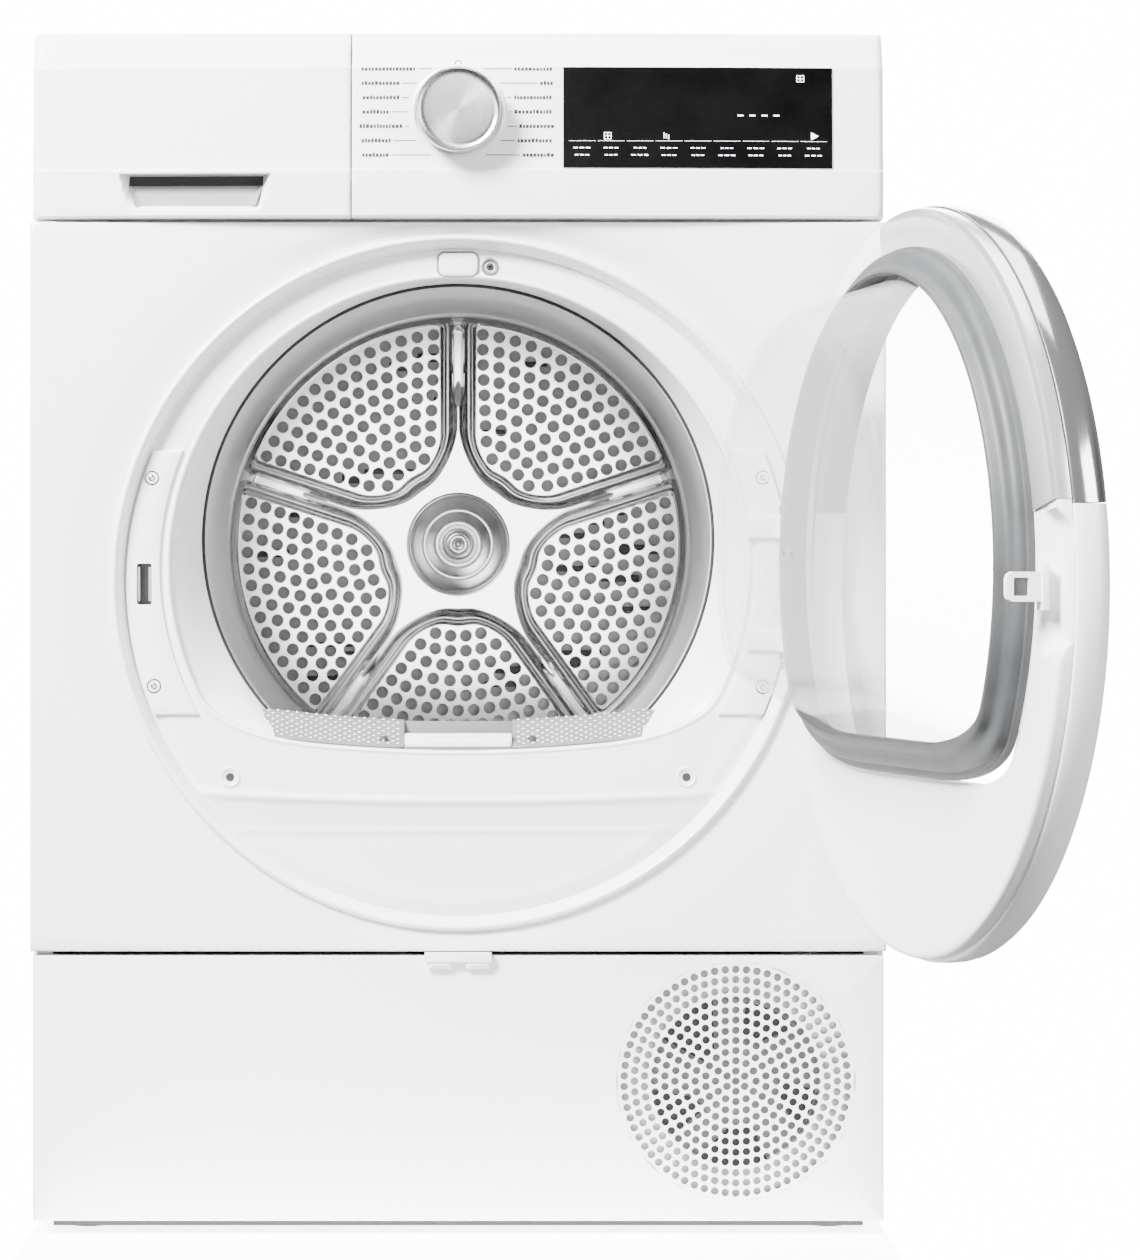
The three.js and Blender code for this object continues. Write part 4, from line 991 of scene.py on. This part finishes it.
# ---------------------------------------------------------------- lint filter
def lint_filter():
    low, high = span("filter_frame")
    y0, y1 = low[1], high[1]
    half = min((high[0] - low[0]) / 2, 147.5)

    def crest(x):
        return min(366.0, 358.1 + x * x / 2091)

    def sill(x):
        return SILL + 1 + x * x / 2050

    def top(y, x):
        t = min(1.0, (y - y0) / (y1 - 3 - y0))
        return sill(x) + 1 + (crest(x) - sill(x) - 1) * t - 1.2 * math.sin(math.pi * t)

    shape = Shape()
    wing_x = list(np.linspace(-half + .5, -38.2, 12))
    ys = [y0 + .3, y0 + .8, y0 + 2, y0 + 6, y0 + 11, y0 + 16, y1 - 4, y1 - 2, y1 - .7, y1 - .2]
    eased = {ys[0]: 1.5, ys[1]: .3, ys[-2]: .3, ys[-1]: 1.5}
    for side in (1, -1):
        shape.loft([[(side * x, y, top(y, x) - eased.get(y, 0)) for x in wing_x] for y in ys], wrap=False)
        for edge, y in ((y0, ys[0]), (y1, ys[-1])):
            upper = [(side * x, y, top(edge, x) - 1.5) for x in wing_x]
            shape.loft([upper, [(side * x, y, 230) for x in wing_x]], wrap=False)
        for x in (wing_x[0], wing_x[-1]):
            outline = [(side * x, y, top(y, x) - (1.5 if y in (ys[0], ys[-1]) else 0)) for y in ys]
            outline += [(side * x, ys[-1], 230), (side * x, ys[0], 230)]
            shape.cap(outline)
    shape.block(-38.4, 38.4, y0 + .3, y0 + 2, 300, SILL + 2.5, .5)
    shape.block(-38.4, 38.4, y1 - 2.2, y1 - .2, 300, 357.8, .5)
    shape.build("filter_body", "grey", "lint_filter", "grey_plastic", ["filter_frame", "filter_screen"],
                smooth=40)
    beads = Shape()
    rows_up = 10
    for row in range(rows_up):
        y = y0 + 2.0 + (y1 - 5.4 - y0) * row / (rows_up - 1)
        x = -half + 3 + (3.4 if row % 2 else 0)
        while x < half - 2:
            if abs(x) > 40.5:
                z = top(y, x)
                rings = [[(x + r * math.cos(TAU * i / 8), y + r * .9 * math.sin(TAU * i / 8), z + h)
                          for i in range(8)]
                         for r, h in ((1.1, -.1), (.95, .5), (.5, .8))]
                beads.loft(rings)
                beads.cap(rings[-1])
            x += 6.8
    beads.build("filter_beads", "tank", "lint_filter", "grey_plastic", smooth=60)
    grip = Shape()
    gy0 = span("filter_grip")[0][1]
    grip.block(-37.8, 37.8, gy0 - 4.8, gy0 + 2.6, 339.4, 349.8, 1.7)
    grip.block(-36.4, 36.4, gy0 - 5.6, gy0 - 4.2, 340.0, 345.2, .6)
    for side in (-1, 1):
        x0, x1 = sorted((side * 37.6, side * 32.5))
        grip.block(x0, x1, gy0 + 2, y1 - 2.6, 337, 348, 1.2)
    bumps = Shape()
    for side in (-1, 1):
        bumps.lathe([(3.6, 1), (3.4, -1.6), (2.4, -2.6), (.01, -3.0)], side * 52.2, 344.6, 20, y0=gy0)
    bumps.build("filter_bumps", "shadow", "lint_filter", "grey_plastic", smooth=50)
    grip.build("filter_handle", "plastic", "lint_filter", "white_plastic", ["filter_grip"])


lint_filter()


# ---------------------------------------------------------------- drum
STAR_FRONT = span("drum_back")[0][1]             # front of the raised star
PLATE_Y = STAR_FRONT + 7.0                       # sheet with the holes
SECTOR_IN, SECTOR_OUT, ARM = 64.3, 182.0, 13.7   # the fields' reach, and half the width of an arm
FIELDS = [math.radians(126 + 72 * k) for k in range(5)]
HALF_FIELD = math.radians(36)
HOLE_COUNTS = (4, 6, 7, 8, 10, 11, 12, 13, 14)
HOLE_SPREAD = (14.3, 20.7, 23.0, 24.7, 26.1, 27.2, 28.1, 28.8, 29.3)


def rounded_meet(first, second, corner):
    """Signed distance to where two regions overlap, with the corner between their edges rounded."""
    a, b = first + corner, second + corner
    return np.minimum(np.maximum(a, b), 0) + np.hypot(np.maximum(a, 0), np.maximum(b, 0)) - corner


def sector_distance(x, z, a):
    """Signed distance outside the perforated field at angle a; x and z run from the drum's axis."""
    u = x * np.cos(a) + z * np.sin(a)            # outwards along the field's middle
    v = np.abs(-x * np.sin(a) + z * np.cos(a))
    side = v * math.cos(HALF_FIELD) - u * math.sin(HALF_FIELD) + ARM
    inner = (SECTOR_IN - u) + 2.0 * np.exp(-(v / 11) ** 2)
    return rounded_meet(rounded_meet(side, inner, 17.0), np.hypot(x, z) - SECTOR_OUT, 5.0)


BEAD_D = [-1.2, -.2, .6, 1.3, 2.2, 3.4, 5.2, 7.0, 8.2, 9.0, 10.2, 11.6, 12.6, 13.4]
BEAD_H = [0, 0, .9, 1.7, 1.9, 1.2, .9, 1.3, 2.6, 3.6, 5.2, 6.3, 6.85, 7.0]


def star():
    n_a, radii = 1080, np.concatenate([np.linspace(40, 70, 46), np.linspace(70.7, 182, 160),
            [183.0, 184.2, 185.4, 187]])
    angles = np.arange(n_a) * TAU / n_a
    r, a = np.meshgrid(radii, angles, indexing="ij")
    x, z = r * np.cos(a), r * np.sin(a)
    d = np.min([sector_distance(x, z, a) for a in FIELDS], axis=0)
    height = np.interp(d, BEAD_D, BEAD_H)
    for k in range(5):                        # a pill-shaped groove along the outer part of each arm
        t = math.radians(90 + 72 * k)
        u, v = x * np.cos(t) + z * np.sin(t), -x * np.sin(t) + z * np.cos(t)
        pill = np.hypot(np.maximum(0, u - 173.7), v)
        sunk = smooth((u - 112) / 24) * np.interp(pill, [0, 2.4, 3.6, 5.0, 6.2], [4.6, 4.5, 3.4, .3, 0])
        height = np.where(u > 112, np.maximum(height - sunk, np.minimum(height, 2.4)), height)
    rim = np.interp(r, [176, 180.5, 182.5, 184, 187], [1, 1, .22, .1, 0])
    ends = np.minimum(height, 7 * rim)
    y = PLATE_Y - ends
    verts = [(float(px), float(py), float(DRUM[2] + pz)) for px, py,
             pz in zip(x.ravel(), y.ravel(), z.ravel())]
    keep = d > -1.1
    faces = []
    for i in range(len(radii) - 1):
        for j in range(n_a):
            k = (j + 1) % n_a
            if keep[i, j] or keep[i + 1, j] or keep[i, k] or keep[i + 1, k]:
                faces.append((i * n_a + j, i * n_a + k, (i + 1) * n_a + k, (i + 1) * n_a + j))
    # The sloping beads take the darker steel as painted shade; the flat star keeps the bright steel.
    bead = (d < 11.4).ravel()
    parts = (("drum_star", "disc", ["drum_back"], True), ("drum_star_beads", "bead", [], False))
    for name, look, nodes, bright in parts:
        chosen = [f for f in faces if bead[f[0]] != bright]
        used = sorted({v for f in chosen for v in f})
        order = {v: i for i, v in enumerate(used)}
        shape = Shape().add([verts[v] for v in used], [[order[v] for v in f] for f in chosen])
        shape.build(name, look, "drum", "stainless", nodes, smooth=60, recalc=False)


def perforated_fields():
    shape = Shape()
    for middle in FIELDS:
        holes = []
        for row, (count, spread_deg) in enumerate(zip(HOLE_COUNTS, HOLE_SPREAD)):
            r = 75.7 + 12.3 * row
            for a in np.radians(np.linspace(-spread_deg, spread_deg, count)):
                holes.append((r * math.cos(middle + a), DRUM[2] + r * math.sin(middle + a), 5.3))
        outline = []
        for r, turn, steps in ((SECTOR_OUT + .5, 1, 40), (58, -1, 20)):
            for i in range(steps + 1):
                a = middle + turn * (2 * HALF_FIELD * i / steps - HALF_FIELD)
                outline.append((r * math.cos(a), DRUM[2] + r * math.sin(a)))
        perforated(shape, outline, holes, PLATE_Y + .05, PLATE_Y + 2.6, .8, 16)
    shape.build("drum_perforated_fields", "disc", "drum", "stainless", smooth=32, recalc=False)
    duct = Shape()
    duct.lathe([(.01, 6.4), (90, 6.2), (150, 6.2), (184, 6), (186, 3)], 0, DRUM[2], 96, y0=PLATE_Y)
    duct.build("duct_inside_wall", "duct", "drum", "galvanised", smooth=40)
    bars = Shape()
    rng = np.random.default_rng(7)
    for k in range(26):
        a = rng.uniform(0, TAU)
        r = rng.uniform(82, 165)
        x, z = r * math.cos(a), DRUM[2] + r * math.sin(a)
        w, h = rng.uniform(9, 24), rng.uniform(3, 8)
        bars.block(x - w, x + w, PLATE_Y + 4.2, PLATE_Y + 6, z - h / 2, z + h / 2, .5)
    bars.build("duct_louvres", "dark", "drum", "dark_plastic", smooth=40)


def drum_shell():
    """The tube with its pressed ribs, the front ring and the rear flange, as one turned section."""
    y0, y1 = span("drum_front")[0][1], span("drum_shell")[1][1]
    low, high = box("drum_shell")
    radius = (high.x - low.x) / 2 / MM
    lip = 180.0

    def ribs(r, depth):
        return [(r - d, y) for start in (y0 + 60, y1 - 72)
                for d, y in ((0, start), (depth, start + 3), (depth, start + 9), (0, start + 12))]

    front = [(lip, y0 + 1.2), (lip - .4, y0 + .4), (lip + 1, y0), (lip + 4, y0 + .3), (lip + 45, y0 + 2),
             (radius - 12, y0 + 9), (radius - 4, y0 + 12.5), (radius, y0 + 21)]
    rear = [(radius, y1 - 14), (radius - 4, y1 - 5), (radius - 12, y1), (188, y1), (187, y1 - .8),
            (186.6, y1 - 3)]
    flange = [(188, 1.2), (190.5, 2.6), (192.6, 1.4), (195, .4), (206, .6), (230, 1.0), (radius - 16, 2),
              (radius - 6, 6), (radius - 1.8, 16)]
    inner = [(radius - 1.8, y0 + 22), (radius - 6, y0 + 14), (radius - 12, y0 + 11), (lip + 45, y0 + 3.8),
             (lip + 4, y0 + 2.2), (lip + 1, y0 + 2)]
    profile = front + ribs(radius, 1.6) + rear + [(r, PLATE_Y - d) for r, d in flange]
    shape = Shape().lathe(profile + ribs(radius - 1.8, 1.4)[::-1] + inner, 0, DRUM[2], 192, close=True)
    shape.build("drum_shell_skin", "steel", "drum", "stainless", ["drum_shell", "drum_front"], smooth=50)


def hub():
    base = STAR_FRONT + .2
    top = span("drum_hub")[0][1]
    turned = [(46.5, 0), (46, .8), (44.6, 1.2), (43.4, .6), (42.6, .9), (41.6, 2.4), (38, 4.6), (33, 6.8),
              (30.4, 7.6), (29.2, 7.4), (28.2, 8.0), (26, 9.2), (22, 10.6), (19, 11.4), (17.8, 11.2),
              (16.6, 9.4), (14.8, 9.2), (13.2, 10.2), (12, 12.2), (10, 12.8), (8.6, 12.2), (8, 8.6),
              (7, 8.2), (5.4, 8.6)]
    profile = [(r, base - d) for r, d in turned] + [(4.6, top + .9), (3.4, top + .2)]
    shape = Shape().lathe([(r * .92, y) for r, y in profile] + [(.01, top)], 0, DRUM[2], 128)
    shape.build("drum_hub_cap", "hub", "drum", "polished_steel", ["drum_hub"], smooth=40)
    rod = [(.01, PLATE_Y + 1), (12, PLATE_Y + 1), (12, 598), (11, 600), (.01, 600)]
    axle = Shape().lathe(rod, 0, DRUM[2], 40)
    axle.build("drum_axle", "chrome", "drum", "stainless")


def lifters():
    for k in range(1, 4):
        node = "drum_lifter_%d" % k
        low, high = span(node)
        a = math.radians(150 - 120 * k)
        reach = 285.0
        rows = []
        for t in np.linspace(0, 1, 26):
            y = low[1] + (high[1] - low[1]) * t
            ease = min(1.0, min(t, 1 - t) / .09)
            top = 18 + 40 * math.sin(ease * math.pi / 2) ** .7
            row = []
            for s in np.linspace(-1, 1, 21):
                v = 33.0 * s
                u = top * (1 - abs(s) ** 2.4) ** .62 if abs(s) < 1 else 0
                r = reach - 2.6 - u - (v * v) / (2 * reach)
                row.append((r * math.cos(a) - v * math.sin(a), y,
                            DRUM[2] + r * math.sin(a) + v * math.cos(a)))
            rows.append(row)
        shape = Shape().loft(rows, wrap=False)
        for row in (rows[0], rows[-1]):
            shape.cap(row)
        shape.build("lifter_cover_%d" % k, "grey", "drum", "grey_plastic", [node], smooth=40)


star()
perforated_fields()
drum_shell()
hub()
lifters()

seal = Shape().lathe([(THROAT_R + .2, THROAT_Y + .5), (THROAT_R - .6, THROAT_Y + 3), (THROAT_R - .2, 54.5),
                      (THROAT_R + 2, 55.6), (192, 55.6), (192, THROAT_Y + .5)],
                     0, DRUM[2], 128, close=True)
seal.build("felt_ring", "felt", "cabinet", "felt", ["drum_seal"], smooth=40)


# ---------------------------------------------------------------- door (drawn closed, then swung open)
INNER = -0.8                                     # the door's inner face
DOME_Z = 475                                     # middle of the glass dome's end


def hinge_clip(points):
    """Flattens what would reach past the relief along the hinge side."""
    return [(min(x, 220.2 + .268 * (y - INNER)), y, z) for x, y, z in points]


def d_ring(radius, sill, y, n=300, corner=34.0, centre=MOUTH_Z):
    """A D-shaped ring: a circle with a flat, round-cornered bottom."""
    row = []
    for i in range(n):
        a = TAU * i / n
        c, s = math.cos(a), math.sin(a)
        t = radius
        if s < -1e-6:
            line = (sill - centre) / s
            h = max(0.0, min(1.0, .5 + .5 * (line - t) / corner))
            t = line * (1 - h) + t * h - corner * h * (1 - h)
        row.append((t * c, y, centre + t * s))
    return row


def round_ring(radius, y, n=300, centre=HOLE_Z):
    """A circle sampled in the same directions as d_ring."""
    row = []
    d = MOUTH_Z - centre
    for i in range(n):
        a = TAU * i / n
        c, s = math.cos(a), math.sin(a)
        t = -s * d + math.sqrt((s * d) ** 2 - d * d + radius * radius)
        row.append((t * c, y, MOUTH_Z + t * s))
    return row


def recess(x, z):
    """Depth of the finger recess on the handle side."""
    across = float(smooth((-x - 212) / 9))
    up = float(smooth((501 - z) / 8)) * float(smooth((z - 414) / 10))
    return 8.6 * across * up


def door_frame():
    start = d_ring(204.2, 332.6, INNER)
    rings = [[(x, INNER - 8.6, z) for x, _, z in start], [(x, INNER - .4, z) for x, _, z in start], start]
    end = round_ring(236.6, INNER)
    for k in range(1, 15):
        t = k / 14
        row = []
        for (x0, _, z0), (x1, _, z1) in zip(start, end):
            x, z = x0 + (x1 - x0) * t, z0 + (z1 - z0) * t
            row.append((x, INNER - recess(x, z), z))
        rings.append(row)
    for r, y in ((238.6, -1.2), (240.0, -2.2), (240.6, -3.8), (240.6, -9.8)):
        rings.append([(x, y - recess(x, z) * (y > -5) * .8, z) for x, _, z in round_ring(r, y)])
    shape = Shape().loft([hinge_clip(row) for row in rings])
    shape.build("door_liner", "plastic", "door", "white_plastic", ["door_frame"], smooth=40)


RIM_PROFILE = [(240.7, -10.2), (242.2, -10.8), (243.0, -12.4), (243.4, -18), (243.2, -24), (242.2, -28.4),
               (240, -31.6), (236, -34), (230, -35.4), (222, -35.9), (212, -35.2), (207, -33.8),
               (205, -31.6), (204.7, -10.3)]
TRIM_LEVEL = span("door_trim")[0][2]


def door_ring():
    """The outer ring, cut along one level into a silver upper part and a white lower part."""
    parts = (("door_silver_ring", True, "silver", "silver_trim", "door_trim"),
             ("door_white_ring", False, "plastic", "white_plastic", "door_cover"))
    for name, above, look, slot, node in parts:
        level = TRIM_LEVEL + (0 if above else -.6)
        rows = []
        for r, y in RIM_PROFILE:
            half = math.asin(max(-1, min(1, (level - HOLE_Z) / r)))
            ends = (half, math.pi - half) if above else (math.pi - half, TAU + half)
            rows.append(hinge_clip(arc(r, y, *ends, 420)))
        Shape().loft(rows, wrap=False, close=True).build(name, look, "door", slot, [node], smooth=32)


def silver_face():
    """The silver facing on the inner face, from the handle side's level seam to just past the top."""
    profile = [(206.2, INNER + .05), (206.6, INNER + 1.1), (208, INNER + 1.4), (222, INNER + 1.5),
               (234, INNER + 1.4), (238, INNER + .9), (240.4, INNER - .8), (241.1, INNER - 3), (241.1, -9.6)]
    rows = [arc(r, y, math.radians(167.8), math.radians(78), 150) for r, y in profile]
    Shape().loft(rows, wrap=False).build("door_silver_face", "satin", "door", "silver_trim", smooth=30)


def gasket():
    sections = [(204.6, 333.4, -.5), (205.0, 333.0, 2.2), (204.6, 333.4, 4.0), (203.2, 334.6, 4.8),
                (203.0, 334.8, 5.6), (204.2, 333.8, 6.6), (203.6, 334.4, 9.0), (201.2, 336.4, 11.2),
                (198.0, 339.6, 11.9), (195.6, 342.4, 12.6), (194.0, 344.6, 14.6), (193.0, 346.4, 17.6),
                (191.6, 348.4, 19.6), (189.6, 350.8, 20.2), (188.2, 352.8, 18.8), (188.0, 352.8, 12),
                (190.4, 350.2, 4), (191.6, 348.8, -.5)]
    rings = []
    for r, sill, y in sections:
        tuck = 1.0 if y > 6 else 0.0
        rings.append([(min(x, 219.8), y, z) for x, _,
                      z in d_ring(r - 1.2 * tuck, sill + 4.5 * tuck, y, corner=60)])
    shape = Shape().loft(rings, close=True)
    shape.build("door_seal", "rubber", "door", "gasket_rubber", ["door_gasket"], smooth=38)


def bowl():
    def section(t, inset):
        y = -9 + (82.8 - inset - -9) * t
        r = 190.6 - inset - 41 * t
        sill = 350.4 + inset + 42 * t
        return d_ring(r, sill, y, 240, 34, MOUTH_Z + 12 * t)

    rings = [section(t, 0) for t in np.linspace(0, .9, 14)]
    for k in range(1, 9):
        b = k / 8 * math.pi / 2
        base = section(.9 + .1 * math.sin(b), 0)
        shrink = 15 * (1 - math.cos(b)) / 150
        rings.append([(x * (1 - shrink), y, DOME_Z + (z - DOME_Z) * (1 - shrink)) for x, y, z in base])
    for shrink, bulge in ((.2, .5), (.45, 1.1), (.75, 1.5), (.98, 1.6)):
        rings.append([(x * (1 - shrink), y + bulge, DOME_Z + (z - DOME_Z) * (1 - shrink)) for x, y, z in rings[21]])
    outside = rings
    lifted = []
    for row in outside[::-1]:
        lifted.append([(x * .984, min(y, 81.5) - (2.6 if y > 60 else 0), DOME_Z + (z - DOME_Z) * .984)
                       for x, y, z in row])
    shape = Shape().loft(outside + lifted, close=True)
    shape.build("door_glass_dome", "glass", "door", "clear_glass", ["door_bowl"], smooth=50)


def outer_pane():
    profile = [(204.3, -30), (204.3, -32.4), (203.2, -33.2), (150, -34.6), (90, -35.4), (30, -35.7),
               (.5, -35.8)]
    shape = Shape().lathe(profile, 0, HOLE_Z, 160)
    shape.build("door_outer_glass", "pane", "door", "clear_glass", ["door_window"], smooth=40)


def latch():
    x, z, half = -220.0, 455.0, 8.8
    hook = [(INNER + .3, -half), (INNER + 4, -half), (22, -half), (24.6, 1.6 - half), (25.5, 4 - half),
            (25.5, half - 4), (24.6, half - 1.6), (22, half), (INNER + 4, half), (INNER + .3, half)]
    outline = [(y, z + dz) for y, dz in hook]
    front, back, reach = 11.8, 21.2, 5.4
    window = [(front, z - reach), (back, z - reach), (back, z + reach), (front, z + reach)]
    points, kept = sheet([outline, window], lambda y, up: not (front < y < back and abs(up - z) < reach))
    shape = Shape()
    sides = (x - 2.4, x + 2.4)
    for side in sides:
        shape.add([(side, p.x, p.y) for p in points], kept)
    for loop in (outline, window):
        shape.loft([[(side, *point) for point in loop] for side in sides])
    shape.block(x - 4.6, x + 4.6, INNER + .2, INNER + 4.6, z - 14, z + 14, .8)
    shape.build("latch_hook", "plastic", "door", "white_plastic", ["door_hook"], smooth=30)
    insert = Shape().block(x - 1.2, x + 1.2, 12.2, 20.8, z - 5.0, z + 5.0, .5)
    insert.build("latch_window_insert", "rubber", "door", "grey_plastic")


def door_hinge_leaf():
    x, y, _ = HINGE
    shape = Shape()
    shape.block(x - 19.5, x - 7.5, INNER + .3, y - 1, 401.5, 509.8, .5)
    for z0, z1 in ((504, 509.8), (401.5, 407.3)):
        shape.block(x - 8, x - 2, INNER + .3, y - 1, z0, z1, .4)
        knuckle = [(2.5, z0), (3.8, z0), (4.1, z0 + .4), (4.1, z1 - .4), (3.8, z1), (2.5, z1)]
        shape.loft(post(x, y, knuckle), close=True)
    shape.build("door_hinge_leaf", "chrome", "door", "polished_steel", ["door_hinge"])


door_frame()
door_ring()
silver_face()
gasket()
bowl()
outer_pane()
latch()
door_hinge_leaf()


# ---------------------------------------------------------------- worktop, sides, base and back
def worktop():
    (x0, y0, z0), (x1, y1, z1) = span("worktop")
    rings = []
    corner = 5

    def ring(inset, z):
        points = []
        for cx, cy, a in ((x1 - corner, y1 - corner, 0), (x0 + corner, y1 - corner, 90),
                          (x0 + corner, y0 + corner, 180), (x1 - corner, y0 + corner, 270)):
            for i in range(7):
                t = math.radians(a + 15 * i)
                points.append((cx + (corner - inset) * math.cos(t), cy + (corner - inset) * math.sin(t), z))
        rings.append(points)

    for inset, z in ((4, z0), (.6, z0), (0, z0 + .8), (0, z0 + 6), (.5, z0 + 6.4), (.5, z0 + 7.4),
                     (0, z0 + 7.8), (0, z1 - 3.4), (.5, z1 - 1.5), (1.7, z1 - .4), (3.4, z1)):
        ring(inset, z)
    shape = Shape().loft(rings, caps=True)
    shape.build("worktop_board", "laminate", "cabinet", "laminate", ["worktop"], smooth=30)


def side_panel(sign):
    node = "side_panel_left" if sign < 0 else "side_panel_right"
    (_, y0, z0), (_, y1, z1) = span(node)
    margin_y, margin_z, fold = 46, 60, 14
    notch_y, notch_z = 44.3, 709.7            # the fascia's end takes the upper front corner

    def face_x(y, z):
        """The sheet has a shallow pressed field in its middle and rounded edges."""
        inward = min(min(y - y0, y1 - y) - margin_y, min(z - z0, z1 - z) - margin_z)
        edge = max(0.0, 1 - (y - y0) / 2.6) + max(0.0, 1 - (y1 - y) / 2.6)
        return HALF - 1.3 * float(smooth(inward / 9)) - 2.0 * edge ** 2

    def front_y(z):
        return notch_y if z > notch_z else y0

    steps = (0, 3, 6, 9)
    edges_y = [y0, y0 + .5, y0 + 1.4, y0 + 2.6, y1 - 2.6, y1 - 1.4, y1 - .5, y1]
    ys = sorted(set(edges_y + list(np.linspace(y0 + 8, y1 - 8, 44))
                    + [y0 + margin_y + d for d in steps] + [y1 - margin_y - d for d in steps]))
    zs = sorted(set(list(np.linspace(z0, z1, 44)) + [notch_z - .1, notch_z + .1]
                    + [z0 + margin_z + d for d in steps] + [z1 - margin_z - d for d in steps]))
    back = HALF - fold
    shape = Shape().loft([[(sign * face_x(y, z), max(y, front_y(z)), z) for y in ys] for z in zs], wrap=False)
    shape.loft([[(sign * face_x(y0, z), front_y(z), z), (sign * back, front_y(z), z)] for z in zs],
               wrap=False)
    shape.loft([[(sign * face_x(y1, z), y1, z), (sign * back, y1, z)] for z in zs], wrap=False)
    shape.cap([(sign * x, y, z0) for x, y in ((HALF, y0), (HALF, y1), (back, y1), (back, y0))])
    shape.build(node + "_skin", "enamel", "cabinet", "enamel", [node], smooth=30)


def rear_details():
    """Screws and louvres on the back."""
    y = span("rear_panel")[1][1]
    louvres = Shape()
    for k in range(9):
        z = 96 + 13 * k
        rows = []
        for t in np.linspace(0, 1, 7):
            drop = 3.2 * math.sin(math.pi * t)
            rows.append([(60 + 150 * s, y + .1 + drop * float(smooth(min(s, 1 - s) / .05)), z + 8 * t)
                         for s in np.linspace(0, 1, 24)])
        louvres.loft(rows, wrap=False)
    louvres.build("rear_louvres", "galv", "cabinet", "galvanised", smooth=50)
    heads = Shape()
    spots = [(x, z) for x in (-288, 288) for z in (80, 260, 440, 620, 790)]
    spots += [(x, z) for x in (-150, 0, 150) for z in (72, 806)]
    for sx, sz in spots:
        heads.lathe([(4.6, .1), (4.4, 1.0), (3.2, 1.7), (1.6, 1.9), (1.5, .9), (.01, .9)], sx, sz, 16, y0=y)
    face = span("rear_duct_cover")[1][1]
    for k in range(10):
        a = TAU * k / 10 + .3
        heads.lathe([(4.4, -1.0), (4.2, -.2), (2.8, 0), (1.4, 0), (1.3, -.8), (.01, -.8)],
                    212 * math.cos(a), DRUM[2] + 212 * math.sin(a), 16, y0=face)
    heads.build("rear_screws", "chrome", "cabinet", "polished_steel", smooth=40)


worktop()
side_panel(-1)
side_panel(1)
rear_details()


def feet():
    for node in ("foot_front_left", "foot_front_right", "foot_rear_left", "foot_rear_right"):
        low, high = box(node)
        x, y, _ = to_mm((low + high) / 2)
        body = next(b for b, nodes in frame["record"]["behaviour"]["bodies"].items() if node in nodes)
        profile = [(.01, 0), (15.6, 0), (17.2, .5), (18, 1.8), (18, 6), (17.2, 7.4), (13, 9.6), (11.4, 11),
                   (11, 13.4), (5, 13.6)]
        profile += [(5 - .55 * (k % 2), 14 + 1.1 * k) for k in range(20)] + [(4.2, 36), (.01, 36)]
        rings = []
        for r, z in profile:
            ring = []
            for i in range(36):
                a = TAU * i / 36
                # the six flats of the nut
                flat = math.cos((a + math.pi / 6) % (math.pi / 3) - math.pi / 6) / .95
                reach = r / flat if 10.6 < r < 13.2 else r
                ring.append((x + reach * math.cos(a), y + reach * math.sin(a), z))
            rings.append(ring)
        Shape().loft(rings).build(node + "_pad", "dark", body, "dark_plastic", [node], smooth=40)


feet()

# ---------------------------------------------------------------- CAD nodes that keep their shape
KEPT = {
    "base_tray": "dark", "rear_panel": "galv", "rear_duct_cover": "galv", "front_bulkhead": "galv",
    "drum_bearing": "chrome",
    "support_roller_left": "black_rubber", "support_roller_right": "black_rubber", "drive_motor": "galv",
    "motor_shaft": "chrome",
    "process_fan": "dark", "drive_belt": "black_rubber", "compressor": "paint", "evaporator": "alu",
    "condenser": "alu",
    "refrigerant_pipes": "copper", "cooling_fan_frame": "dark", "cooling_fan_rotor": "dark",
    "control_module": "dark", "tank_body": "tank", "tank_lid": "tank", "door_lock": "grey",
    "filter_chute": "grey",
}
for node, key in KEPT.items():
    obj = frame["nodes"][node]
    obj.data.materials.clear()
    obj.data.materials.append(M[key])
